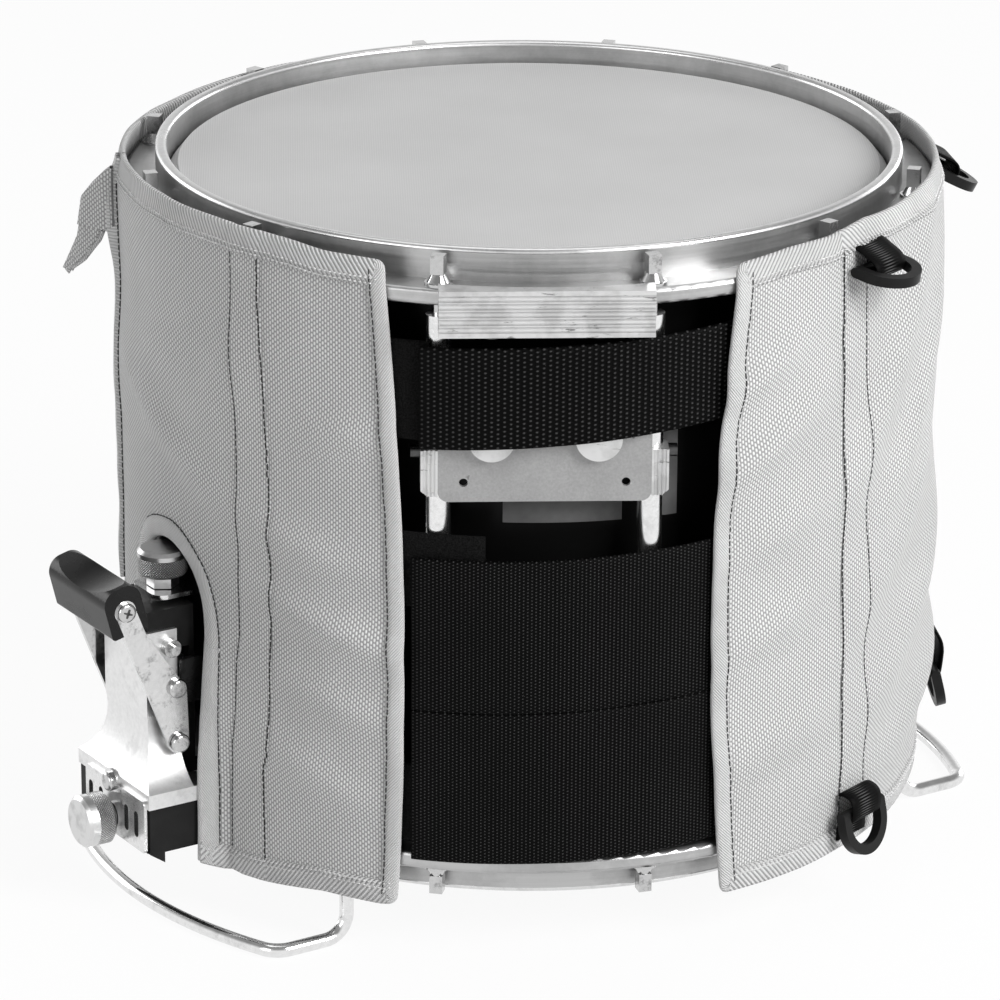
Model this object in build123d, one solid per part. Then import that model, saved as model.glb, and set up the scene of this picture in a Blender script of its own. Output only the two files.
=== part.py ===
from build123d import *
import os
from math import cos, degrees, radians, sin, sqrt

os.makedirs("parts", exist_ok=True)

# A 14 x 12 inch marching snare drum in its fitted fabric cover.
# Millimetres. +Z is up, the drum's front (the carrier bracket) faces -Y.
# The origin is on the drum's axis, on the plane that its two guard rods stand on.
# Azimuths are degrees from the front, positive towards +X.
# Levels are heights above the lip of the bottom rim, until they are placed.

# General
overrun = 2.0
cloth_gap = 0.3
run_gap = 0.4
thread_gap = 0.1
pivot_gap = 0.05
spare_turn = 1.0
front_azimuth = -90.0
on_its_foot = (Align.CENTER, Align.CENTER, Align.MIN)
full_turn = 360.0

# Rims
drum_height = 324.0
flange_radius = 200.0
flange_width = 16.0
flange_thickness = 8.0
flange_drop = 16.0
lip_wall = 5.4
lip_round = 2.0
lip_radius = flange_radius - flange_width
rim_inner = lip_radius - lip_wall
flange_top = drum_height - flange_drop
flange_underside = flange_top - flange_thickness

# Heads, their hoops and the shell
hoop_seat = 21.0
hoop_height = 6.0
hoop_width = 5.8
hoop_side_gap = 1.7
head_drop = 9.8
head_film = 0.5
collar_gap = 0.9
collar_turn = 5.7
shell_inset = 8.0
shell_wall = 6.0
edge_outer_cut = 3.5
edge_outer_fall = 5.0
gate_width = 34.0
gate_level = 1.5
gate_height = 12.0
hoop_inner = rim_inner + hoop_side_gap
hoop_outer = hoop_inner + hoop_width
shell_radius = lip_radius - shell_inset

# Snare guard rods, which are the feet
wire_diameter = 7.0
guard_drop = 28.0
guard_stand = 28.0
guard_arm_offset = 100.5
guard_bend = 12.0
guard_leg_stand = 9.6
guard_tenon = 5.0
guard_nut_height = 4.0
guard_nut_width = 9.0
guard_azimuths = (-60.0, 120.0)
guard_radius = flange_radius + guard_stand
guard_leg_radius = lip_radius + guard_leg_stand
lip_base = guard_drop + wire_diameter / 2
lip_top = lip_base + drum_height

# Tension rods, their washers and the tube lugs
lug_count = 12
lug_azimuth = 15.0
rod_inset = 8.2
rod_diameter = 5.6
rod_hole = 6.4
rod_reach = 22.0
washer_radius = 6.6
washer_thickness = 1.4
key_collar_radius = 5.4
key_collar_height = 4.0
key_width = 6.3
key_height = 9.0
tube_diameter = 12.0
tube_end_gap = 6.0
lug_ring_level = 33.0
lug_ring_thickness = 10.0
lug_ring_reach = 2.2
lug_circle = flange_radius - rod_inset
lug_ring_radius = lug_circle + lug_ring_reach
tube_across = lug_circle * sin(radians(lug_azimuth))
tube_outward = lug_circle * cos(radians(lug_azimuth))
tube_front = tube_outward + tube_diameter / 2

# Snares under the bottom head
strand_count = 12
strand_diameter = 1.2
strand_pitch = 2.3
strand_inset = 6.0
end_plate_length = 22.0
end_plate_thickness = 2.4
butt_clamp_depth = 9.0
butt_clamp_thickness = 6.0
strand_length = 2 * (shell_radius - strand_inset)

# Carrier bracket on the two front tubes
bracket_overhang = 0.36
hook_block_stand = 6.3
hook_block_depth = 13.1
hook_block_rise = 3.0
hook_block_drop = 11.5
hook_rebate_turn = 30.0
hook_shelf_depth = 6.2
hook_shelf_end_gap = 1.64
hook_groove_count = 5
hook_groove_radius = 1.5
hook_screw_spacing = 50.0
hook_screw_diameter = 5.0
hook_screw_head = 8.5
hook_screw_head_height = 4.0
carrier_plate_drop = 78.0
carrier_plate_height = 42.0
carrier_plate_thickness = 2.5
carrier_plate_corner = 5.0
carrier_hole = 4.2
carrier_hole_spacing = 76.0
carrier_hole_rise = 9.5
clamp_inner_reach = 6.64
clamp_outer_reach = 8.36
clamp_depth = 12.76
clamp_rise = 2.5
clamp_height = 22.7
clamp_flute_count = 3
clamp_flute_radius = 0.9
clamp_chamfer = 3.0
clamp_bolt_drop = 4.2
clamp_bolt_head = 6.4
clamp_bolt_head_length = 4.5
backing_bar_inset = 4.5
backing_bar_rise = 8.0
backing_bar_drop = 3.0
thumb_screw_spacing = 50.0
thumb_screw_drop = 10.0
thumb_screw_radius = 11.0
thumb_screw_height = 4.2
thumb_screw_shank = 8.0
pad_thickness = 1.5
pad_height = 42.7
pad_rise = 0.8
pad_azimuths = ((-6.1, 12.2), (18.4, 21.1))
bracket_width = 2 * (tube_across + bracket_overhang)
hook_block_front = flange_radius + hook_block_stand
hook_block_back = hook_block_front - hook_block_depth
hook_shelf_back = hook_block_back - hook_shelf_depth
hook_shelf_length = 2 * (tube_across - tube_diameter / 2 - hook_shelf_end_gap)
hook_block_bottom = flange_underside - hook_block_drop
hook_block_top = flange_top + hook_block_rise
carrier_plate_top = drum_height - carrier_plate_drop
carrier_plate_bottom = carrier_plate_top - carrier_plate_height
carrier_hole_level = carrier_plate_bottom + carrier_hole_rise
clamp_inner_offset = tube_across - clamp_inner_reach
clamp_outer_offset = tube_across + clamp_outer_reach
clamp_back = tube_front - clamp_depth
clamp_bottom = carrier_plate_bottom + clamp_rise
clamp_top = clamp_bottom + clamp_height
clamp_bolt_level = clamp_top - clamp_bolt_drop
backing_bar_back = clamp_back + backing_bar_inset
backing_bar_bottom = clamp_bottom + backing_bar_rise
backing_bar_top = carrier_plate_top - backing_bar_drop
thumb_screw_level = carrier_plate_top - thumb_screw_drop
pad_top = clamp_top + pad_rise
pad_bottom = pad_top - pad_height

# Fabric cover
cover_thickness = 2.4
binding_thickness = 0.8
binding_width = 11.0
hem_width = 9.0
seam_gap = 0.3
cover_drop = 8.0
cover_bottom = 0.0
left_seam = -40.0
right_seam = 43.5
left_edge_azimuths = (-22.2, -19.3, -20.2)
right_edge_azimuths = (26.8, 23.6, 25.8)
slit_azimuth = -85.0
slit_gap = 1.6
slit_foot = 103.0
arch_front_half = 31.0
arch_back_half = 38.5
arch_spring = 108.0
arch_rise = 46.0
strainer_azimuth = -60.0
cover_top = drum_height - cover_drop
cover_inner = flange_radius + cloth_gap
cover_outer = cover_inner + cover_thickness
binding_outer = cover_outer + binding_thickness

# Closing tab: sewn in front of the slit, it reaches back over it and droops towards its tip
# Drops are below the cover's top edge
tab_azimuth = -83.5
tab_lean_angle = 38.0
tab_thickness = 2.2
tab_reaches = (0.0, 0.0, 15.0, 31.0, 38.0, 38.0, 26.0, 17.0)
tab_drops = (3.0, 33.0, 35.0, 60.0, 60.0, 53.0, 28.0, 16.0)
tab_corner = 2.5
patch_thickness = 1.2
hook_patch_reaches = (18.0, 30.0, 30.0, 18.0)
hook_patch_drops = (38.0, 56.0, 44.0, 22.0)
loop_patch_azimuths = (-96.0, -88.0)
loop_patch_foot_drop = 62.0
loop_patch_top_drop = 24.0

# Black webbing straps and the loop tabs that they close on
strap_thickness = 2.1
strap_end_azimuth = -19.0
strap_end_stand = 0.1
strap_crown_azimuth = 14.5
strap_crown_stand = 0.4
strap_flap_azimuth = 23.6
strap_flap_inset = 2.5
strap_joint_azimuth = 23.0
strap_anchor_azimuth = 28.5
strap_joint_gap = 0.3
upper_strap_left_drops = (93.8, 43.4)
upper_strap_right_drops = (84.2, 37.1)
upper_strap_end_azimuth = -16.97
lower_strap_left = (21.6, 98.8, 176.0)
lower_strap_right = (26.7, 103.8, 180.9)
lower_strap_end_azimuth = -18.02
strap_web_gap = 0.3
loop_tab_thickness = 1.8
loop_tab_root_azimuth = -27.0
upper_tab_end_azimuth = -15.8
upper_tab_drops = (90.5, 41.5)
lower_tab_end_azimuth = -8.0
lower_tab_levels = (150.0, 188.0)
foot_tab_end_azimuth = -14.0
foot_tab_levels = (30.0, 70.0)
strap_end_inner = cover_inner + strap_end_stand
strap_crown_inner = cover_inner + strap_crown_stand
strap_flap_inner = cover_inner - strap_flap_inset
loop_tab_outer = cover_inner - cloth_gap

# Plastic rings on webbing tabs: two stand out from under the top binding, two hang
ring_bar_radius = 2.5
ring_section = 5.0
ring_inner_width = 24.0
ring_inner_length = 18.0
ring_outer_width = ring_inner_width + 2 * ring_section
ring_tab_width = 20.0
ring_tab_web = 1.6
ring_tab_fold = 1.9
standing_tab_length = 14.0
standing_bar_stand = 4.6
hanging_tab_height = 34.5
hanging_tab_bulge = 11.5
hanging_tab_rise_shares = (0.0, 0.04, 0.22, 0.42, 0.83, 1.0)
hanging_tab_stand_shares = (0.0, 0.0, 1.0, 1.0, 0.0, 0.0)
hanging_bar_rise_share = 0.33
hanging_bar_stand = 7.9
standing_ring_drop = 16.1
bottom_ring_level = 22.5
side_ring_level = 36.0
standing_ring_level = cover_top - standing_ring_drop
ring_names = ("top_right_ring", "bottom_right_ring", "side_ring", "back_ring")
ring_azimuths = (49.8, 49.0, 95.0, 98.0)
ring_levels = (standing_ring_level, bottom_ring_level, side_ring_level, standing_ring_level)
ring_tilt_angles = (81.0, 12.0, 14.0, 62.0)
ring_stands_out = (True, False, False, True)

# Snare strainer, in its own frame: across, outward from the drum's axis, and level
base_half_width = 35.5
base_depth = 34.0
base_bottom = 6.0
skirt_bottom = 29.8
skirt_top = 37.5
skirt_step = 0.8
base_hook_depth = 5.5
base_hook_length = 8.0
base_hook_width = 4.0
column_half_width = 21.3
column_set_back = 7.1
column_depth = 17.0
column_sheet = 2.0
column_top = 115.0
flare_top = 72.0
housing_inset = 0.5
housing_top = 125.0
housing_foot_inner = 15.0
housing_foot_turn = 30.0
flare_sag_share = 0.3
slide_slot_half = 13.6
slide_slot_bottom = 66.0
slide_slot_top = 104.0
slide_slot_wall = 0.5
slot_plate_left = -26.0
slot_plate_right = 34.0
slot_plate_bottom = 6.4
slot_plate_top = 33.5
slot_plate_thickness = 1.6
slot_plate_ear = 6.5
slot_plate_screw_level = 33.0
slot_offsets = (-20.7, -10.4, 15.7, 25.7)
slot_width = 4.2
slot_height = 13.4
slot_level = 19.5
top_plate_inner_reach = 9.0
top_plate_front_reach = 17.0
top_plate_half = 14.0
top_plate_level = 127.5
top_plate_thickness = 2.2
knob_reach = 6.0
knob_radius = 12.3
knob_height = 13.2
knob_chamfer = 1.6
knob_collar_radius = 8.0
knob_collar_height = 6.0
knob_screw = 5.0
knob_screw_reach = 49.0
base_knob_level = 15.0
base_knob_radius = 13.0
base_knob_height = 15.0
base_knob_collar_radius = 6.5
base_knob_collar_height = 2.5
base_knob_screw = 6.0
base_knob_screw_reach = 14.0
pivot_set_back = 13.4
pivot_level = 58.7
link_reach = 0.9
link_level = 87.3
upper_bolt_reach = 0.9
upper_bolt_level = 106.4
handle_reach = 28.1
handle_level = 132.0
handle_half_length = 28.5
handle_width = 20.0
handle_below = 12.0
handle_above = 13.0
handle_round = 8.0
handle_foot_round = 2.0
handle_lean_angle = 14.0
handle_saddle = 4.0
arm_thickness = 2.4
arm_round = 5.7
arm_slot_gap = 0.1
arm_waist_reach = 16.5
arm_waist_level = 117.0
arm_heel = 4.6
bolt_shank = 5.0
bolt_head_radius = 4.8
bolt_head_height = 3.0
bush_radius = 4.5
slide_half_length = 22.6
slide_inset = 0.1
slide_bar_inner_reach = 3.2
slide_bar_gap = 0.6
slide_bottom = 83.0
slide_top = 95.0
slide_cap_bottom = 77.0
slide_cap_top = 100.0
slide_cap_inset = 1.5
slide_cap_step = 0.7
slide_cap_end = 25.6
slide_cap_round = 2.5
tape_half_width = 12.5
tape_thickness = 0.7
tape_bottom = 2.0
base_inner = binding_outer
base_front = base_inner + base_depth
skirt_front = base_front + skirt_step
skirt_half_width = base_half_width + skirt_step
column_front = base_front - column_set_back
column_back = column_front - column_depth
housing_back = base_inner - housing_inset
slide_slot_front = column_back - slide_slot_wall
top_plate_inner = housing_back - top_plate_inner_reach
top_plate_front = housing_back + top_plate_front_reach
knob_offset = housing_back + knob_reach
pivot_offset = column_front - pivot_set_back
link_offset = pivot_offset + link_reach
upper_bolt_offset = pivot_offset + upper_bolt_reach
arm_inner = handle_half_length - arm_thickness
handle_offset = pivot_offset + handle_reach
slide_inner = housing_back - slide_inset
slide_bar_inner = housing_back + slide_bar_inner_reach
slide_bar_front = slide_slot_front - slide_bar_gap
slide_cap_inner = housing_back - slide_cap_inset
slide_cap_front = slide_bar_front + slide_cap_step


def spot(radius, azimuth, height):
    """A point at a radius from the drum's axis, an azimuth from the front and a height."""
    angle = radians(azimuth)
    return Vector(radius * sin(angle), -radius * cos(angle), height)


def turned(shape, azimuth):
    """A shape made at the front of the drum, carried round to an azimuth."""
    return shape.rotate(Axis.Z, azimuth)


def sector(inner, outer, low, high, start, end):
    """A ring sector between two azimuths and two levels."""
    bottom = lip_base + low
    top = lip_base + high
    corners = [(inner, 0, bottom), (outer, 0, bottom), (outer, 0, top), (inner, 0, top)]
    face = make_face(Polyline(*corners, close=True))
    return revolve(face, Axis.Z, end - start).rotate(Axis.Z, start + front_azimuth)


def block(left, right, inner, outer, low, high):
    """A block across, outward and up, at the front of the drum; levels are from the bottom lip."""
    middle = ((left + right) / 2, -(inner + outer) / 2, lip_base + (low + high) / 2)
    return Pos(*middle) * Box(right - left, outer - inner, high - low)


def pin(across, outward, level, direction, radius, length):
    """A round bar that starts at a place and runs in a direction."""
    start = Plane(origin=(across, -outward, lip_base + level), z_dir=direction)
    return start * Cylinder(radius, length, align=on_its_foot)


def side_plate(points, left, right):
    """A flat plate cut in the outward and level plane, between two places across."""
    outline = [(left, -outward, lip_base + level) for outward, level in points]
    return extrude(make_face(Polyline(*outline, close=True)), amount=right - left, dir=(1, 0, 0))


def front_plate(points, inner, outer):
    """A flat plate cut in the across and level plane, between two distances outward."""
    outline = [(across, -inner, lip_base + level) for across, level in points]
    return extrude(make_face(Polyline(*outline, close=True)), amount=outer - inner, dir=(0, -1, 0))


def closed_face(lines):
    """A flat face inside lines that meet end to end."""
    return make_face([edge for line in lines for edge in line.edges()])


def group(shapes):
    """Separate solids kept together under one name."""
    return Compound([solid for shape in shapes for solid in shape.solids()])


def lug_azimuths():
    step = full_turn / lug_count
    return [lug_azimuth + step * index for index in range(lug_count)]


def both_ends(shape):
    """The upper-end shape and its mirror image at the lower end of the drum."""
    middle = Plane.XY.offset(lip_base + drum_height / 2)
    return shape, mirror(shape, about=middle)


# Drum

def rim_upper():
    wall_foot = lip_top - hoop_seat
    top = lip_top - flange_drop
    foot = top - flange_thickness
    corners = [(rim_inner, wall_foot), (rim_inner, lip_top), (lip_radius, lip_top), (lip_radius, top)]
    corners += [(flange_radius, top), (flange_radius, foot), (hoop_outer + cloth_gap, foot)]
    corners += [(hoop_outer + cloth_gap, wall_foot)]
    face = make_face(Polyline(*[(radius, 0, height) for radius, height in corners], close=True))
    rounded = [corner for corner in face.vertices()
               if abs(corner.Z - lip_top) < overrun or abs(corner.X - flange_radius) < overrun]
    ring = revolve(fillet(rounded, lip_round), Axis.Z, full_turn)
    for azimuth in lug_azimuths():
        centre = spot(lug_circle, azimuth, foot - overrun)
        hole = Plane(origin=centre, z_dir=(0, 0, 1))
        ring -= hole * Cylinder(rod_hole / 2, flange_thickness + 2 * overrun, align=on_its_foot)
    return ring


def rim_lower():
    ring = both_ends(rim_upper())[1]
    reach = (rim_inner - overrun, hoop_outer + overrun)
    for azimuth in guard_azimuths:
        window = block(-gate_width / 2, gate_width / 2, *reach, gate_level, gate_level + gate_height)
        ring -= turned(window, azimuth)
        for side in (-1, 1):
            ring -= turned(guard_tenon_bar(side, overrun), azimuth)
    return ring


def head_upper():
    film_top = lip_top - head_drop
    film_under = film_top - head_film
    peak = shell_radius - edge_outer_cut
    collar_outer = rim_inner - collar_gap
    collar_inner = collar_outer - head_film
    turn = film_top - collar_turn
    foot = lip_top - hoop_seat - cloth_gap
    seat = foot - head_film - collar_gap
    upper_line = [(0, film_top), (peak + head_film, film_top), (collar_outer, turn), (collar_outer, foot)]
    upper_line += [(hoop_inner, seat)]
    lower_line = [(hoop_inner, seat - head_film), (collar_inner, foot - head_film), (collar_inner, turn)]
    lower_line += [(peak + head_film / 2, film_under), (0, film_under)]
    outline = [(radius, 0, height) for radius, height in upper_line + lower_line]
    return revolve(make_face(Polyline(*outline, close=True)), Axis.Z, full_turn)


def hoop_upper():
    top = drum_height - hoop_seat
    return sector(hoop_inner, hoop_outer, top - hoop_height, top, 0, full_turn)


def drum_shell():
    peak = shell_radius - edge_outer_cut
    inner = shell_radius - shell_wall
    top = lip_top - head_drop - head_film
    foot = lip_base + head_drop + head_film
    fall = peak - inner
    outline = [(inner, foot + fall), (inner, top - fall), (peak, top), (shell_radius, top - edge_outer_fall)]
    outline += [(shell_radius, foot + edge_outer_fall), (peak, foot)]
    return revolve(make_face(Polyline(*[(r, 0, z) for r, z in outline], close=True)), Axis.Z, full_turn)


def tension_rod():
    """One upper rod, at the front: a square key head on a cone, over a threaded shank."""
    seat = flange_top + washer_thickness
    shank_foot = flange_underside - tube_end_gap - rod_reach
    shank = pin(0, lug_circle, shank_foot, (0, 0, 1), rod_diameter / 2, seat - shank_foot)
    cone = Cone(key_collar_radius, key_width / 2, key_collar_height, align=on_its_foot)
    key_level = seat + key_collar_height
    key = block(-key_width / 2, key_width / 2, lug_circle - key_width / 2, lug_circle + key_width / 2,
                key_level, key_level + key_height)
    return shank + Pos(0, -lug_circle, lip_base + seat) * cone + key


def rod_washer():
    disc = pin(0, lug_circle, flange_top, (0, 0, 1), washer_radius, washer_thickness)
    return disc - pin(0, lug_circle, flange_top, (0, 0, 1), rod_diameter / 2, washer_thickness)


def lug_tube():
    foot = flange_drop + flange_thickness + tube_end_gap
    length = drum_height - 2 * foot
    tube = pin(0, lug_circle, foot, (0, 0, 1), tube_diameter / 2, length)
    return tube - pin(0, lug_circle, foot, (0, 0, 1), rod_diameter / 2, length)


def lug_ring():
    top = lug_ring_level + lug_ring_thickness
    ring = sector(shell_radius, lug_ring_radius, lug_ring_level, top, 0, full_turn)
    for azimuth in lug_azimuths():
        bar = pin(0, lug_circle, lug_ring_level, (0, 0, 1), tube_diameter / 2 + pivot_gap,
                  lug_ring_thickness)
        ring -= turned(bar, azimuth)
    return ring


def round_the_lugs(shape):
    return [turned(shape, azimuth) for azimuth in lug_azimuths()]


# Snares

def snare_strands():
    level = head_drop - strand_diameter / 2
    bars = []
    for index in range(strand_count):
        across = (index - (strand_count - 1) / 2) * strand_pitch
        bar = pin(across, -strand_length / 2, level, (0, -1, 0), strand_diameter / 2, strand_length)
        bars.append(turned(bar, strainer_azimuth))
    return bars


def strand_end_plates():
    width = strand_count * strand_pitch
    near = strand_length / 2
    top = head_drop
    plates = []
    for azimuth in guard_azimuths:
        plate = block(-width / 2, width / 2, near, near + end_plate_length, top - end_plate_thickness, top)
        plates.append(turned(plate, azimuth))
    return plates


def butt_clamp():
    width = gate_width - 2 * overrun
    inner = strand_length / 2 + end_plate_length
    top = head_drop
    body = block(-width / 2, width / 2, inner, inner + butt_clamp_depth - overrun,
                 top - butt_clamp_thickness, top)
    return turned(body, guard_azimuths[1])


# Snare guards

def guard_leg_distance():
    """How far out from the drum's axis the legs stand, along the guard's own direction."""
    return sqrt(guard_leg_radius ** 2 - guard_arm_offset ** 2)


def guard_path():
    floor = lip_base - guard_drop
    leg = guard_leg_distance()
    bend_centre = sqrt((guard_radius - guard_bend) ** 2 - (guard_arm_offset - guard_bend) ** 2)
    turn_share = (guard_arm_offset - guard_bend) / (guard_radius - guard_bend)
    corner_x = turn_share * guard_radius
    corner_y = -guard_radius * sqrt(1 - turn_share ** 2)
    half = sqrt(0.5)
    top = lip_base + flange_drop
    pieces = []
    for side in (-1, 1):
        x = side * guard_arm_offset
        pieces.append(Line((x, -leg, top), (x, -leg, floor + guard_bend)))
        middle = (x, -leg - guard_bend * (1 - half), floor + guard_bend * (1 - half))
        pieces.append(ThreePointArc((x, -leg, floor + guard_bend), middle, (x, -leg - guard_bend, floor)))
        pieces.append(Line((x, -leg - guard_bend, floor), (x, -bend_centre, floor)))
        hub = Vector(side * (guard_arm_offset - guard_bend), -bend_centre, floor)
        corner = Vector(side * corner_x, corner_y, floor)
        outward = ((corner - hub).normalized() + Vector(side, 0, 0)).normalized()
        pieces.append(ThreePointArc((x, -bend_centre, floor), hub + outward * guard_bend, corner))
    crown = (0, -guard_radius, floor)
    pieces.append(ThreePointArc((-corner_x, corner_y, floor), crown, (corner_x, corner_y, floor)))
    return Wire(pieces)


def guard_tenon_bar(side, extra=0.0):
    """The thinner end of a guard leg, which goes up through the flange."""
    level = flange_drop - extra
    length = flange_thickness + guard_nut_height + 2 * extra
    return pin(side * guard_arm_offset, guard_leg_distance(), level, (0, 0, 1), guard_tenon / 2, length)


def snare_guard():
    path = guard_path()
    start = path.position_at(0)
    wire = sweep(Plane(origin=start, z_dir=path.tangent_at(0)) * Circle(wire_diameter / 2), path=path)
    for side in (-1, 1):
        wire += guard_tenon_bar(side)
    return wire


def guard_nuts():
    nuts = []
    top = flange_drop + flange_thickness
    for azimuth in guard_azimuths:
        for side in (-1, 1):
            centre = (side * guard_arm_offset, -guard_leg_distance(), lip_base + top)
            hexagon = Pos(*centre) * RegularPolygon(guard_nut_width / 2, 6, major_radius=False)
            nut = extrude(hexagon, amount=guard_nut_height) - guard_tenon_bar(side, overrun)
            nuts.append(turned(nut, azimuth))
    return nuts


# Carrier bracket

def carrier_hook_block():
    half = bracket_width / 2
    body = block(-half, half, hook_block_back, hook_block_front, hook_block_bottom, hook_block_top)
    shelf = hook_shelf_length / 2
    body += block(-shelf, shelf, hook_shelf_back, hook_block_back, hook_block_bottom, flange_underside)
    body -= sector(hook_shelf_back - overrun, flange_radius, flange_underside, hook_block_top + overrun,
                   -hook_rebate_turn, hook_rebate_turn)
    pitch = (hook_block_top - hook_block_bottom) / (hook_groove_count + 1)
    for index in range(hook_groove_count):
        level = hook_block_bottom + pitch * (index + 1)
        groove = pin(-half - overrun, hook_block_front, level, (1, 0, 0), hook_groove_radius,
                     bracket_width + 2 * overrun)
        body -= groove
    for place in hook_screw_places():
        body -= pin(place, lug_circle, hook_block_bottom - overrun, (0, 0, 1), hook_screw_diameter / 2,
                    hook_block_top - hook_block_bottom)
    return body


def hook_screw_places():
    return (-hook_screw_spacing / 2, hook_screw_spacing / 2)


def hook_block_screws():
    screws = []
    for place in hook_screw_places():
        foot = hook_block_bottom - hook_screw_head_height
        head = pin(place, lug_circle, foot, (0, 0, 1), hook_screw_head / 2, hook_screw_head_height)
        shank = pin(place, lug_circle, hook_block_bottom, (0, 0, 1), hook_screw_diameter / 2,
                    flange_underside - hook_block_bottom)
        screws.append(head + shank)
    return screws


def carrier_plate():
    half = bracket_width / 2
    front = tube_front + carrier_plate_thickness
    plate = block(-half, half, tube_front, front, carrier_plate_bottom, carrier_plate_top)
    foot = lip_base + carrier_plate_bottom
    corners = [edge for edge in plate.edges().filter_by(Axis.Y) if edge.center().Z < foot + overrun]
    plate = fillet(corners, carrier_plate_corner)
    for side in (-1, 1):
        across = side * carrier_hole_spacing / 2
        plate -= pin(across, tube_front - overrun, carrier_hole_level, (0, -1, 0), carrier_hole / 2,
                     carrier_plate_thickness + 2 * overrun)
        across = side * thumb_screw_spacing / 2
        plate -= pin(across, tube_front - overrun, thumb_screw_level, (0, -1, 0), thumb_screw_shank / 2,
                     carrier_plate_thickness + 2 * overrun)
    return plate


def carrier_clamps():
    clamps = []
    front = tube_front + carrier_plate_thickness
    for side in (-1, 1):
        near, far = sorted((side * clamp_inner_offset, side * clamp_outer_offset))
        body = block(near, far, clamp_back, front, clamp_bottom, clamp_top)
        foot = lip_base + clamp_bottom
        low_edges = [edge for edge in body.edges().filter_by(Axis.Y) if edge.center().Z < foot + overrun]
        outer_edge = max(low_edges, key=lambda edge: abs(edge.center().X))
        body = chamfer(outer_edge, clamp_chamfer)
        body -= pin(side * tube_across, tube_outward, clamp_bottom - overrun, (0, 0, 1),
                    tube_diameter / 2 + pivot_gap, clamp_top - clamp_bottom + 2 * overrun)
        low, high = sorted((0, side * bracket_width / 2))
        body -= block(low, high, tube_front, front + overrun, clamp_bottom - overrun, clamp_top + overrun)
        room = clamp_outer_offset - bracket_width / 2
        for index in range(clamp_flute_count):
            across = side * (bracket_width / 2 + room * (index + 1) / (clamp_flute_count + 1))
            body -= pin(across, front, clamp_bottom - overrun, (0, 0, 1), clamp_flute_radius,
                        clamp_top - clamp_bottom + 2 * overrun)
        clamps.append(body)
    return clamps


def clamp_bolts():
    """A pan-head bolt through each clamp's outer cheek, against its tube."""
    bolts = []
    for side in (-1, 1):
        outward = clamp_back + clamp_bolt_head / 2
        bolts.append(pin(side * clamp_outer_offset, outward, clamp_bolt_level, (side, 0, 0),
                         clamp_bolt_head / 2, clamp_bolt_head_length))
    return bolts


def carrier_backing_bar():
    half = clamp_inner_offset
    bar = block(-half, half, backing_bar_back, tube_front, backing_bar_bottom, backing_bar_top)
    start = backing_bar_back - overrun
    deep = tube_front - backing_bar_back + 2 * overrun
    for side in (-1, 1):
        across = side * thumb_screw_spacing / 2
        bar -= pin(across, start, thumb_screw_level, (0, -1, 0), thumb_screw_shank / 2, deep)
        across = side * carrier_hole_spacing / 2
        bar -= pin(across, start, carrier_hole_level, (0, -1, 0), carrier_hole, deep)
    return bar


def carrier_thumb_screws():
    screws = []
    face = tube_front + carrier_plate_thickness
    for side in (-1, 1):
        across = side * thumb_screw_spacing / 2
        head = pin(across, face, thumb_screw_level, (0, -1, 0), thumb_screw_radius, thumb_screw_height)
        shank = pin(across, backing_bar_back, thumb_screw_level, (0, -1, 0), thumb_screw_shank / 2,
                    face - backing_bar_back)
        screws.append(head + shank)
    return screws


def shell_pads():
    """Thin pads on the shell behind the bracket."""
    outer = shell_radius + pad_thickness
    return [sector(shell_radius, outer, pad_bottom, pad_top, start, end) for start, end in pad_azimuths]


# Strainer, made at the front and carried round

def strainer_base():
    body = block(-base_half_width, base_half_width, base_inner, base_front, base_bottom, skirt_bottom)
    hook_start = base_half_width - base_hook_width
    hook = side_plate([(base_front, base_bottom), (base_front - base_hook_length, base_bottom),
                       (base_front - base_hook_length, base_bottom - base_hook_depth)],
                      hook_start, base_half_width)
    body += hook
    body -= pin(0, base_front + overrun, base_knob_level, (0, 1, 0), base_knob_screw / 2,
                base_knob_screw_reach + 2 * overrun)
    return body


def strainer_frame():
    """The pressed steel frame: a column that flares into the skirt over the base."""
    skirt = block(-skirt_half_width, skirt_half_width, base_inner, skirt_front, skirt_bottom, skirt_top)
    foot = lip_base + skirt_top
    brow = lip_base + flare_top
    bow_height = foot + (brow - foot) * flare_sag_share
    elevation = []
    for side in (-1, 1):
        wide = side * skirt_half_width
        narrow = side * column_half_width
        bow = (narrow + (wide - narrow) * flare_sag_share, -base_inner, bow_height)
        elevation.append(ThreePointArc((wide, -base_inner, foot), bow, (narrow, -base_inner, brow)))
    elevation.append(Line((-skirt_half_width, -base_inner, foot), (skirt_half_width, -base_inner, foot)))
    elevation.append(Line((-column_half_width, -base_inner, brow), (column_half_width, -base_inner, brow)))
    front_view = extrude(closed_face(elevation), amount=skirt_front - base_inner, dir=(0, -1, 0))
    side = -skirt_half_width
    bow = (side, -column_front - (skirt_front - column_front) * flare_sag_share, bow_height)
    profile = [ThreePointArc((side, -skirt_front, foot), bow, (side, -column_front, brow))]
    back = -column_back
    corners = [(-column_front, brow), (back, brow), (back, foot), (-skirt_front, foot)]
    profile.append(Polyline(*[(side, outward, height) for outward, height in corners]))
    side_view = extrude(closed_face(profile), amount=2 * skirt_half_width, dir=(1, 0, 0))
    flare = front_view & side_view
    column = block(-column_half_width, column_half_width, column_back, column_front, flare_top, column_top)
    body = skirt + flare + column
    inner_half = column_half_width - column_sheet
    body -= block(-inner_half, inner_half, base_inner - overrun, column_front - column_sheet, skirt_top,
                  column_top + overrun)
    for side in (-1, 1):
        body -= pin(side * column_half_width, pivot_offset, pivot_level, (side, 0, 0), bush_radius,
                    skirt_half_width)
    return body


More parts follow.
